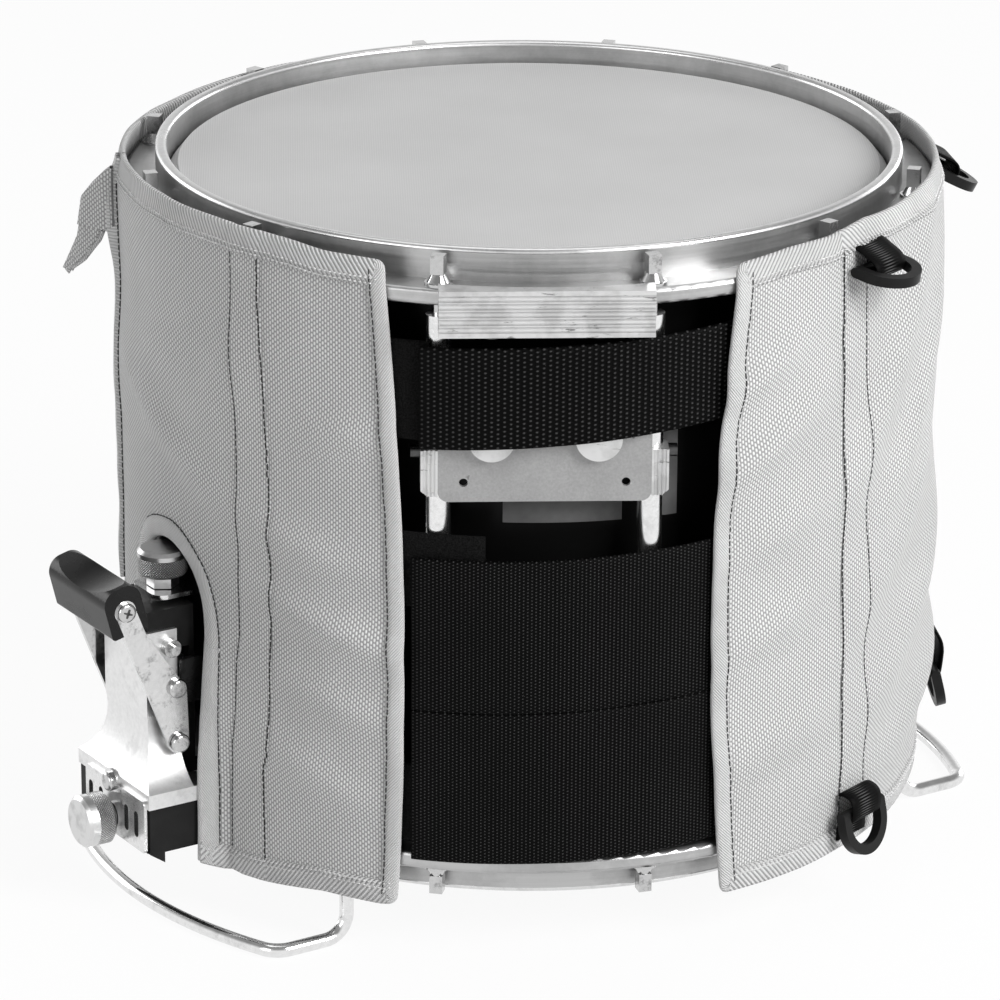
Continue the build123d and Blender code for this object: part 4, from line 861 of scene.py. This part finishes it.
def left_panel():
    made = bmesh.new()
    slit_front = SLIT + arc(SLIT_HALF_GAP)
    behind = straight(ARCH_AZIMUTH - arc(ARCH_BACK_HALF))
    before = straight(ARCH_AZIMUTH + arc(ARCH_FRONT_HALF))
    cloth_between(made, straight(slit_front), behind, SLIT_FOOT, ARCH_SPRING)
    cloth_between(made, straight(slit_front), behind, ARCH_SPRING, COVER_TOP)
    steps = len(spread(ARCH_SPRING, COVER_TOP, GRID_STEP)) - 1
    points, coordinates = [], []
    for u, low in arch_line(0.0):
        places = [(u, mix(low, COVER_TOP, step / steps)) for step in range(steps + 1)]
        points.append([on_cover(*each) for each in places])
        coordinates.append(places)
    add_grid(made, points, coordinates)
    for low, high in ((0.0, ARCH_SPRING), (ARCH_SPRING, COVER_TOP)):
        cloth_between(made, before, line_of(SEAM_ONE), low, high)
        cloth_between(made, line_of(SEAM_ONE), line_of(SEAM_TWO), low, high)
    shown = cloth_piece("left_panel_cloth", made, ["cover_left_panel"], flat(LEFT_SEAM - slit_front))
    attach(shown, ROOT)


def flap(name, left, right, nodes, body, seam):
    made = bmesh.new()
    cloth_between(made, left, right, 0.0, COVER_TOP)
    shown = cloth_piece(name, made, nodes, flat(right(0.0) - left(0.0)))
    bend_at(shown)


def bend_at(shown):
    """Bakes the object's placement into its mesh."""
    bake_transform(shown)


# Bound edges and stitches

def directions(path):
    """Directions along a path of flat places."""
    made = []
    for index in range(len(path)):
        before = path[max(0, index - 1)]
        after = path[min(len(path) - 1, index + 1)]
        length = hypot(after[0] - before[0], after[1] - before[1]) or 1.0
        made.append(((after[0] - before[0]) / length, (after[1] - before[1]) / length))
    return made


def bound_edge(made, surface, path, width, inward, roll=None, cloth=CLOTH):
    """Tape folded over an edge. Inward is 1 where the cloth lies to the left of the path, or -1.

    Its section runs over the face, round the edge and back, as (distance in from the edge, lift).
    A narrow tape is the finer one, which is the second material.
    """
    skin = BINDING_SKIN
    section = [(width, 0.0), (width, skin), (width * 0.55, skin * 1.25), (1.0, skin * 1.2), (-0.7, 0.35),
               (-1.3, -cloth / 2), (-0.9, -cloth - 0.5), (0.8, -cloth - skin * 1.1),
               (width * 0.9, -cloth - skin)]
    points, coordinates = [], []
    length = 0.0
    for index, ((u, v), (du, dv)) in enumerate(zip(path, directions(path))):
        if index:
            length += hypot(u - path[index - 1][0], v - path[index - 1][1])
        swell = roll(index / (len(path) - 1)) if roll else 0.0
        row, marks, run = [], [], 0.0
        for step, (away, out) in enumerate(section):
            shift = (away - (swell if away < 2 else 0.0)) * inward
            bulge = swell * (1.2 if 0 < step < 5 else 0.0)
            row.append(surface(u - dv * shift, v + du * shift, out + bulge))
            run += hypot(away - section[step - 1][0], out - section[step - 1][1]) if step else 0.0
            marks.append((length, run))
        points.append(row)
        coordinates.append(marks)
    add_grid(made, points, coordinates, finish=0 if width >= BINDING_WIDTH else 1)


def stitches(made, surface, path, pitch, out, length_share, radius):
    """A row of separate stitches along a path."""
    travelled, target = 0.0, pitch / 2
    ahead = directions(path)
    for index in range(1, len(path)):
        (u, v), (nu, nv) = path[index - 1], path[index]
        span = hypot(nu - u, nv - v)
        while span and travelled + span >= target:
            share = (target - travelled) / span
            middle = (mix(u, nu, share), mix(v, nv, share))
            one_stitch(made, surface, middle, ahead[index], pitch * length_share / 2, out, radius)
            target += pitch
        travelled += span


def one_stitch(made, surface, middle, ahead, half, out, radius):
    u, v = middle
    wobble = noise.noise(Vector((u * 0.31, v * 0.31, 4.0))) * 0.35
    rings = []
    for share in (-1.0, -0.6, 0.6, 1.0):
        swell = radius if abs(share) < 1 else radius * 0.35
        rise = out + (radius * 0.5 if abs(share) < 1 else -radius)
        ring = []
        for side, lift in ((-1, 0), (0, 1), (1, 0), (0, -1)):
            across = side * swell + wobble
            ring.append(surface(u + ahead[0] * half * share - ahead[1] * across,
                                v + ahead[1] * half * share + ahead[0] * across, rise + lift * swell))
        rings.append([made.verts.new(point) for point in ring])
    for first, last in zip(rings, rings[1:]):
        for index in range(4):
            made.faces.new([first[index], first[(index + 1) % 4], last[(index + 1) % 4], last[index]])
    made.faces.new(rings[0][::-1])
    made.faces.new(rings[-1])


def level_line(start, end, level):
    return [(flat(azimuth), level) for azimuth in spread(start, end, arc(GRID_STEP))]


def upright_line(line, low, high, shift=0.0, wave=0.12):
    """A line up the cloth that wavers a little, as sewing does."""
    return [(flat(line(level) + wave * noise.noise(Vector((line(level), level / 40, 2.0)))) + shift, level)
            for level in spread(low, high, GRID_STEP)]


def hem_line(edge):
    """A flap's free edge, with close steps round its corners."""
    near = [0.0, 0.25, 0.7, 1.3, 2.1, CORNER]
    far = [COVER_TOP - level for level in reversed(near)]
    levels = [*near, *spread(SEAM_INSET, COVER_TOP - SEAM_INSET, GRID_STEP), *far]
    return [(flat(edge_azimuth(edge, level)), level) for level in levels]


def finish_trim(shown, body, seam=None):
    if seam is None:
        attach(shown, body)
    else:
        bend_at(shown)


def thread_object(name, rows, finish, pitch, out, body, seam=None, surface=on_cover):
    made = bmesh.new()
    for path in rows:
        stitches(made, surface, path, pitch, out, *THREADS[finish])
    finish_trim(mesh_object(name, made, finish), body, seam)


def binding_object(name, edges, nodes, body, seam=None, surface=on_cover):
    made = bmesh.new()
    for edge in edges:
        bound_edge(made, surface, *edge)
    shown = closed_object(name, made, "binding")
    shown.data.materials.append(MATERIALS["hem"])
    if nodes:
        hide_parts(*nodes)
    finish_trim(shown, body, seam)


def slit_roll(share):
    """The slit's bound edge is rolled, and thicker near its top."""
    return 1.2 + 2.8 * exp(-((share - 0.86) / 0.1) ** 2) + 0.6 * noise.noise(Vector((share * 9, 0, 0)))


# Levels of the two rows of stitches along each wide tape
TAPE_ROWS = [*(COVER_TOP - BINDING_WIDTH + step for step in (1.2, 3.4)),
             *(BINDING_WIDTH - step for step in (1.2, 3.4))]


def panel_bindings():
    leg_back = ARCH_AZIMUTH - arc(ARCH_BACK_HALF)
    leg_front = ARCH_AZIMUTH + arc(ARCH_FRONT_HALF)
    slit_back = 360 + SLIT - arc(SLIT_HALF_GAP)
    slit_front = SLIT + arc(SLIT_HALF_GAP)
    back = [
        (level_line(SEAM_THREE[-1][1], slit_back, COVER_TOP), BINDING_WIDTH, -1),
        (level_line(SEAM_THREE[0][1], 360 + leg_back, 0.0), BINDING_WIDTH, 1),
        (upright_line(straight(slit_back), SLIT_FOOT, COVER_TOP), SLIT_TAPE, 1, slit_roll),
        (upright_line(straight(360 + leg_back), 0.0, SLIT_FOOT, 0.0, 0.0), HEM_WIDTH, 1),
    ]
    left = [
        (level_line(slit_front, SEAM_TWO[-1][1], COVER_TOP), BINDING_WIDTH, -1),
        (level_line(leg_front, SEAM_TWO[0][1], 0.0), BINDING_WIDTH, 1),
        (upright_line(straight(slit_front), SLIT_FOOT, COVER_TOP), SLIT_TAPE, -1, slit_roll),
        (arch_line(0.0), ARCH_HEM, 1),
        (upright_line(straight(leg_front), 0.0, ARCH_SPRING, 0.0, 0.0), ARCH_HEM, -1),
    ]
    binding_object("back_binding", back, ["back_panel_binding"], ROOT)
    binding_object("left_binding", left, ["left_panel_binding"], ROOT)
    rows = []
    for level in TAPE_ROWS:
        upper = level > SLIT_FOOT
        rows.append(level_line(along(SEAM_THREE, level), slit_back if upper else 360 + leg_back, level))
        rows.append(level_line(slit_front if upper else leg_front, along(SEAM_TWO, level), level))
    thread_object("binding_stitches", rows, "grey_thread", TAPE_PITCH, BINDING_SKIN * 1.1, ROOT)
    seams = [upright_line(line_of(table), SEAM_INSET, COVER_TOP - SEAM_INSET, shift)
             for table, shift in ((SEAM_ONE, 0), (SEAM_TWO, -0.6), (SEAM_THREE, 0.6), (SEAM_FOUR, 0))]
    seams += [arch_line(ARCH_HEM + 0.3), upright_line(straight(leg_front), 8, ARCH_SPRING, ARCH_HEM + 0.3),
              upright_line(straight(SLIT), SLIT_FOOT, COVER_TOP - SEAM_INSET, SLIT_SEAM),
              upright_line(straight(360 + SLIT), SLIT_FOOT, COVER_TOP - SEAM_INSET, -SLIT_SEAM)]
    thread_object("seam_stitches", seams, "black_thread", SEAM_PITCH, 0.15, ROOT)


def flap_trim(name, line, edge, nodes, body, seam, towards):
    """The bound edges and stitches of one flap; towards is the side that its free edge faces."""
    edges = [
        (level_line(line(COVER_TOP), edge_azimuth(edge, COVER_TOP), COVER_TOP), BINDING_WIDTH, -towards),
        (level_line(line(0.0), edge_azimuth(edge, 0.0), 0.0), BINDING_WIDTH, towards),
        (hem_line(edge), HEM_WIDTH, towards),
    ]
    binding_object(name + "_edges", edges, nodes, body, seam)
    rows = [level_line(line(level), edge_azimuth(edge, level) - arc(towards * 3.0), level)
            for level in TAPE_ROWS]
    out = BINDING_SKIN * 1.1
    thread_object(name + "_binding_stitches", rows, "grey_thread", TAPE_PITCH, out, body, seam)
    hem = [upright_line(edge_of(edge), 4, COVER_TOP - 4, -towards * (HEM_WIDTH - 1.0))]
    thread_object(name + "_hem_stitches", hem, "black_thread", SEAM_PITCH, BINDING_SKIN, body, seam)


# Bands of webbing, patches and the closing tab

def ribbon(made, stations, thickness):
    """A flat band through stations of (one edge, other edge, outward direction), with rounded edges."""
    half = thickness * MM / 2
    count = round((stations[0][1] - stations[0][0]).length / MM / GRID_STEP) + 1
    points, coordinates, length = [], [], 0.0
    previous = None
    for low, high, outward in stations:
        middle = (low + high) / 2
        length += (middle - previous).length / MM if previous else 0.0
        previous = middle
        side = (high - low).normalized()
        width = (high - low).length
        face = [(mix(half * 0.8, width - half * 0.8, index / count), half) for index in range(count + 1)]
        loop = [(0.0, 0.0), *face, (width, 0.0), *((step, -half) for step, lift in reversed(face)),
                (0.0, 0.0)]
        points.append([low + side * step + outward * lift for step, lift in loop])
        coordinates.append([(length, step / MM if lift >= 0 else -step / MM) for step, lift in loop])
    rows = add_grid(made, points, coordinates)
    made.faces.new(rows[0][:-1][::-1])
    made.faces.new(rows[-1][:-1])


def strap_station(x, left_x, left_levels, right_levels, bulge=0.0):
    """One place of a strap: its path seen from above is part of a circle."""
    radius = STRAP_MIDDLE + bulge
    y = STRAP_CENTRE[1] - sqrt(radius ** 2 - (x - STRAP_CENTRE[0]) ** 2)
    share = (x - left_x) / (STRAP_FLAP_X - left_x)
    low = mix(left_levels[0], right_levels[0], share) + LIP_BASE
    high = mix(left_levels[1], right_levels[1], share) + LIP_BASE
    outward = Vector((x - STRAP_CENTRE[0], y - STRAP_CENTRE[1], 0)).normalized()
    return Vector((x, y, low)) * MM, Vector((x, y, high)) * MM, outward


def strap(name, finish, left_x, webs, nodes):
    """A webbing strap from its free end to where it is sewn under the right flap."""
    made = bmesh.new()
    for left_levels, right_levels in webs:
        stations = []
        for x in spread(left_x, STRAP_END_X, BAND_STEP):
            free = smooth(left_x, left_x + 20, x) * (1 - smooth(60, 79, x))
            bulge = free * STRAP_BULGE * noise.noise(Vector((x / 30, left_levels[0] / 50, 3.0)))
            stations.append(strap_station(x, left_x, left_levels, right_levels, bulge))
        ribbon(made, stations, STRAP_THICK)
    shown = closed_object(name, made, finish)
    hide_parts(*nodes)
    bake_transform(shown)


def slit_patch():
    """The loop patch behind the slit, on the cloth."""
    made = bmesh.new()
    levels = spread(*LOOP_PATCH_LEVELS, BAND_STEP)
    places = [[(flat(azimuth), level) for level in levels] for azimuth in spread(*LOOP_PATCH_AZIMUTHS, 1.0)]
    add_grid(made, [[on_cover(u, v, LOOP_PATCH_THICK) for u, v in row] for row in places], places)
    orient(made)
    shown = mesh_object("slit_loop_pile", made, "pile")
    thicken(shown, LOOP_PATCH_THICK)
    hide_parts("slit_loop_patch")
    finish_trim(shown, ROOT, None)


def loop_tab_patches():
    """The patches inside the left flap that the straps close on."""
    made = bmesh.new()
    for radius, low, high, start, end, thickness in LOOP_TABS:
        ribbon(made, [(place(azimuth, low, radius), place(azimuth, high, radius), outward_at(azimuth))
                      for azimuth in spread(start, end, 1.5)], thickness)
    shown = closed_object("loop_tab_patches", made, "pile")
    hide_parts("loop_tabs")
    finish_trim(shown, "left_flap", None)


def on_tab(u, v, out=0.0):
    """A point of the closing tab: so far back from the slit, at a level, and out from its face."""
    lean = radians(TAB_LEAN)
    out += TAB_CURL * sin(pi * min(1.0, u / 38.0)) + 0.5 * noise.noise(Vector((u / 14, v / 20, 5)))
    out -= 1.6 * (1 - smooth(0, 6, u))
    across = -u * cos(lean) + out * sin(lean)
    ahead = TAB_STAND + u * sin(lean) + out * cos(lean)
    turn = radians(TAB_AZIMUTH)
    return Vector((across * cos(turn) + ahead * sin(turn), across * sin(turn) - ahead * cos(turn),
                   LIP_BASE + v)) * MM


def tab_side(table, low, high):
    return [(along(table, drop), COVER_TOP - drop) for drop in spread(low, high, 1.5)]


def tab_leaf(made, low, high, lift):
    points, coordinates = [], []
    for (far, level), (near, level) in zip(tab_side(TAB_OUTER, low, high), tab_side(TAB_INNER, low, high)):
        places = [(mix(near, far, share / 8), level) for share in range(9)]
        points.append([on_tab(u, v, lift) for u, v in places])
        coordinates.append(places)
    add_grid(made, points, coordinates)


def tab_cloth():
    made = bmesh.new()
    for leaf in TAB_LEAVES:
        tab_leaf(made, *leaf)
    shown = mesh_object("closing_tab_cloth", made, "cloth")
    thicken(shown, TAB_CLOTH)
    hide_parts("slit_tab")
    finish_trim(shown, "slit_tab", None)


def tab_trim():
    """The tab's bound edges and its stitches."""
    step = [(0.0, COVER_TOP - 32.0), (11.0, COVER_TOP - 32.4), (21.5, COVER_TOP - 33.0)]
    edges = [(tab_side(TAB_OUTER, 0.0, TAB_DROP), 4.5, -1, None, TAB_CLOTH),
             (step, 4.0, 1, None, TAB_CLOTH),
             (tab_side(TAB_INNER, 33.0, TAB_DROP), 2.5, 1, None, TAB_CLOTH)]
    binding_object("closing_tab_edges", edges, [], "slit_tab", None, on_tab)
    rows = [[(u - TAB_STITCH_IN, v) for u, v in tab_side(TAB_OUTER, 9.0, 54.0)],
            [(1.0, COVER_TOP - 28.5), (20.0, COVER_TOP - 29.3)]]
    thread_object("closing_tab_stitches", rows, "grey_thread", TAB_PITCH, 1.4, "slit_tab", None, on_tab)


def tab_patch():
    """The hook patch on the tab's back."""
    made = bmesh.new()
    stations = []
    for drop in spread(*HOOK_DROPS, BAND_STEP):
        near = max(10.0, along(TAB_INNER, drop) + 1.0)
        far = along(TAB_OUTER, drop) - 2.0
        low, high = on_tab(near, COVER_TOP - drop, HOOK_OUT), on_tab(far, COVER_TOP - drop, HOOK_OUT)
        outward = (on_tab(near, COVER_TOP - drop, HOOK_OUT + 1.0) - low).normalized()
        if far - near > 2:
            stations.append((low, high, outward))
    ribbon(made, stations, HOOK_THICK)
    shown = mesh_object("closing_tab_patch", made, "pile")
    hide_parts("slit_hook_patch")
    finish_trim(shown, "slit_tab", None)


def ring_webbing():
    """The webbing that holds each ring, round the ring's bar."""
    made = bmesh.new()
    for azimuth, level, path in RINGS:
        line = smooth_path(path)
        outward, turn = outward_at(azimuth), radians(azimuth)
        side = Vector((cos(turn), sin(turn), 0)) * (RING_WEB_WIDTH / 2 * MM)
        stations = []
        for (out, up), (ahead, rise) in zip(line, directions(line)):
            cloth = hypot(*on_cover(flat(azimuth), level + up).xy) / MM - COVER_OUTER
            middle = place(azimuth, level + up, COVER_OUTER + out + (cloth + 0.4) * max(0.0, 1 - out / 5))
            stations.append((middle - side, middle + side, outward * rise - Vector((0, 0, ahead))))
        ribbon(made, stations, RING_WEB_THICK)
    shown = closed_object("ring_webbing", made, "ring_webbing")
    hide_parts("ring_tabs")
    finish_trim(shown, ROOT, None)


def smooth_path(path):
    """A path with each corner rounded, by cutting corners twice."""
    for _ in range(2):
        made = [path[0]]
        for (first_out, first_up), (last_out, last_up) in zip(path, path[1:]):
            for share in (0.25, 0.75):
                made.append((mix(first_out, last_out, share), mix(first_up, last_up, share)))
        path = [*made, path[-1]]
    return path


def slot_shade_crosses(name, heads, body):
    """Dark crosses standing a little proud of the heads of screws, painted shade of their crossed slots;
    each head has a middle and an outward direction.
    """
    made = bmesh.new()
    shape = ((-1, -0.6), (-0.35, -1), (0.35, -1), (1, -0.6), (1, 0.6), (0.35, 1), (-0.35, 1), (-1, 0.6))
    for middle, outward in heads:
        first = outward.cross(Vector((0.3, 0.2, 0.93))).normalized()
        second = outward.cross(first)
        for length, width in ((first, second), (second, first)):
            corners = [middle + length * (CROSS_HALF_LENGTH * MM * a) + width * (CROSS_HALF_WIDTH * MM * b)
                       for a, b in shape]
            low = [made.verts.new(corner - outward * (CROSS_DEPTH * MM)) for corner in corners]
            high = [made.verts.new(corner + outward * (CROSS_RISE * MM)) for corner in corners]
            made.faces.new(high)
            made.faces.new(low[::-1])
            for index in range(len(shape)):
                after = (index + 1) % len(shape)
                made.faces.new([low[index], low[after], high[after], high[index]])
    # The dark crosses sit a little proud of the heads: painted shade of the slots.
    shown = closed_object(name, made, "blackened_metal_and_slot_shade", False)
    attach(shown, body)


def rim_lips():
    """The polished round lips of both rims, over the rolled edge."""
    made = bmesh.new()
    middle, half = (LIP_INNER + LIP_OUTER) / 2, (LIP_OUTER - LIP_INNER) / 2
    flat_half, round_skin = half - LIP_ROUND, LIP_ROUND + LIP_SKIN
    for edge, inward in ((DRUM_HEIGHT, -1), (0.0, 1)):
        level = edge + inward * LIP_ROUND
        profile = [(side * (flat_half + round_skin * cos(turn)), -inward * round_skin * sin(turn))
                   for side, turns in ((-1, spread(0, pi / 2, 0.2)), (1, spread(pi / 2, 0, 0.2)))
                   for turn in turns]
        foot_out, foot_up = flat_half + LIP_FOOT_OUT, inward * LIP_FOOT_DROP
        profile = [(-foot_out, foot_up), *profile, (foot_out, foot_up), (-foot_out, foot_up)]
        rows = [[place(azimuth, level + up, middle + out) for out, up in profile]
                for azimuth in range(0, 360, 2)]
        add_grid(made, rows, [[(0.0, 0.0)] * len(profile)] * len(rows), True)
    bmesh.ops.remove_doubles(made, verts=made.verts, dist=0.001 * MM)
    shown = closed_object("rim_lips", made, "lip")
    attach(shown, ROOT)


def strand_tape():
    """The fabric tape that ties the snare strands to the slide."""
    made = bmesh.new()
    stations = []
    outward = outward_at(ARCH_AZIMUTH)
    for level in spread(*TAPE_LEVELS, BAND_STEP):
        out = TAPE_OUT + 0.25 * noise.noise(Vector((level / 11, 0, 2)))
        low, high = (at_strainer(across, out, level) for across in (-TAPE_HALF, TAPE_HALF))
        stations.append((low, high, outward))
    ribbon(made, stations, TAPE_THICK)
    shown = closed_object("strand_tape", made, "lower_webbing")
    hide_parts("snare_tape")
    finish_trim(shown, "snare_slide", None)


def strainer_details():
    side = at_strainer(1.0, 0.0, 0.0) - at_strainer(0.0, 0.0, 0.0)
    side.normalize()
    for name, (out, level), body in (("handle_screw_slot_shade", HANDLE_SCREW, "throw_off_lever"),
                                     ("pivot_screw_slot_shade", PIVOT_SCREW, ROOT)):
        heads = [(at_strainer(way * HEAD_TIP, out, level), side * way) for way in (-1, 1)]
        slot_shade_crosses(name, heads, body)


def make_cover():
    back_panel()
    left_panel()
    sides = (("left_flap", line_of(SEAM_TWO), LEFT_EDGE, LEFT_SEAM, 1),
             ("right_flap", line_of(SEAM_THREE), RIGHT_EDGE, RIGHT_SEAM, -1))
    for name, line, edge, seam, towards in sides:
        flap(name + "_cloth", *(line, edge_of(edge))[::towards], [name], name, seam)
    panel_bindings()
    for name, line, edge, seam, towards in sides:
        flap_trim(name, line, edge, [name + "_binding"], name, seam, towards)
    strap("upper_strap_webbing", "webbing", UPPER_STRAP_X, UPPER_STRAP_WEBS, ["upper_strap"])
    strap("lower_strap_webbing", "lower_webbing", LOWER_STRAP_X, LOWER_STRAP_WEBS,
          ["lower_strap", "strap_anchors"])
    loop_tab_patches()
    slit_patch()
    tab_cloth()
    tab_trim()
    tab_patch()
    ring_webbing()


# Stage, light and camera

def seen_directly(tree):
    """1 for what the camera sees, also in bright metal, and 0 for the light on everything else."""
    path = tree.nodes.new("ShaderNodeLightPath")
    seen = tree.nodes.new("ShaderNodeMath")
    seen.operation = "MAXIMUM"
    for index, kind in enumerate(("Is Camera Ray", "Is Glossy Ray")):
        tree.links.new(path.outputs[kind], seen.inputs[index])
    return seen.outputs[0]


def make_floor():
    """A pale floor that the camera sees as white, and that keeps a faint shadow."""
    material = bpy.data.materials.new("pale_floor")
    material.use_nodes = True
    tree = material.node_tree
    shader = tree.nodes["Principled BSDF"]
    shader.inputs["Base Color"].default_value = (0.85, 0.85, 0.85, 1)
    shader.inputs["Roughness"].default_value = 0.9
    glow = tree.nodes.new("ShaderNodeEmission")
    glow.inputs["Strength"].default_value = 1.0
    joined = tree.nodes.new("ShaderNodeMixShader")
    share = tree.nodes.new("ShaderNodeMath")
    share.operation = "MULTIPLY"
    share.inputs[1].default_value = FLOOR_GLOW
    tree.links.new(seen_directly(tree), share.inputs[0])
    for index, output in enumerate((share.outputs[0], shader.outputs[0], glow.outputs[0])):
        tree.links.new(output, joined.inputs[index])
    tree.links.new(joined.outputs[0], tree.nodes["Material Output"].inputs["Surface"])
    floor = bpy.data.meshes.new("floor")
    corners = [(x * FLOOR_HALF, y * FLOOR_HALF, 0) for x, y in ((-1, -1), (1, -1), (1, 1), (-1, 1))]
    floor.from_pydata(corners, [], [(0, 1, 2, 3)])
    floor.materials.append(material)
    shown = bpy.data.objects.new("floor", floor)
    bpy.context.collection.objects.link(shown)


def make_world():
    """A white world behind everything, greyer overhead, and dimmer where it lights the object."""
    world = bpy.data.worlds.new("studio")
    bpy.context.scene.world = world
    world.use_nodes = True
    tree = world.node_tree
    background = tree.nodes["Background"]
    level = tree.nodes.new("ShaderNodeMapRange")
    level.inputs["To Min"].default_value = WORLD_LEVEL
    level.inputs["To Max"].default_value = 1.0
    split = tree.nodes.new("ShaderNodeSeparateXYZ")
    ramp = tree.nodes.new("ShaderNodeValToRGB")
    for element, (height, shade) in zip(ramp.color_ramp.elements, WORLD_SHADES):
        element.position = height
        element.color = (shade, shade, shade, 1)
    for output, socket in ((seen_directly(tree), level.inputs["Value"]),
                           (level.outputs[0], background.inputs["Strength"]),
                           (tree.nodes.new("ShaderNodeTexCoord").outputs["Generated"], split.inputs[0]),
                           (split.outputs[2], ramp.inputs[0]),
                           (ramp.outputs[0], background.inputs["Color"])):
        tree.links.new(output, socket)


def make_lamps():
    middle = Vector(LAMP_AIM)
    for name, where, size, power in LAMPS:
        lamp = bpy.data.lights.new(name, "AREA")
        lamp.size = size
        lamp.energy = power
        shown = bpy.data.objects.new(name, lamp)
        shown.location = where
        shown.rotation_euler = (middle - Vector(where)).to_track_quat("-Z", "Y").to_euler()
        bpy.context.collection.objects.link(shown)


def make_camera():
    camera = bpy.data.cameras.new("camera")
    camera.lens = CAMERA_LENS
    camera.sensor_width = CAMERA_SENSOR
    shown = bpy.data.objects.new("camera", camera)
    bpy.context.collection.objects.link(shown)
    forward = Vector(CAMERA_FORWARD).normalized()
    right = Vector(CAMERA_RIGHT)
    right = (right - forward * right.dot(forward)).normalized()
    up = right.cross(forward)
    matrix = Matrix((right, up, -forward)).transposed().to_4x4()
    matrix.translation = CAMERA_PLACE
    shown.matrix_world = matrix
    bpy.context.scene.camera = shown


make_floor()
make_world()
make_lamps()
make_camera()
bpy.context.scene.view_settings.view_transform = "Standard"
finish_cad_nodes()
soften_cad_edges()
make_cover()
rim_lips()
strand_tape()
strainer_details()
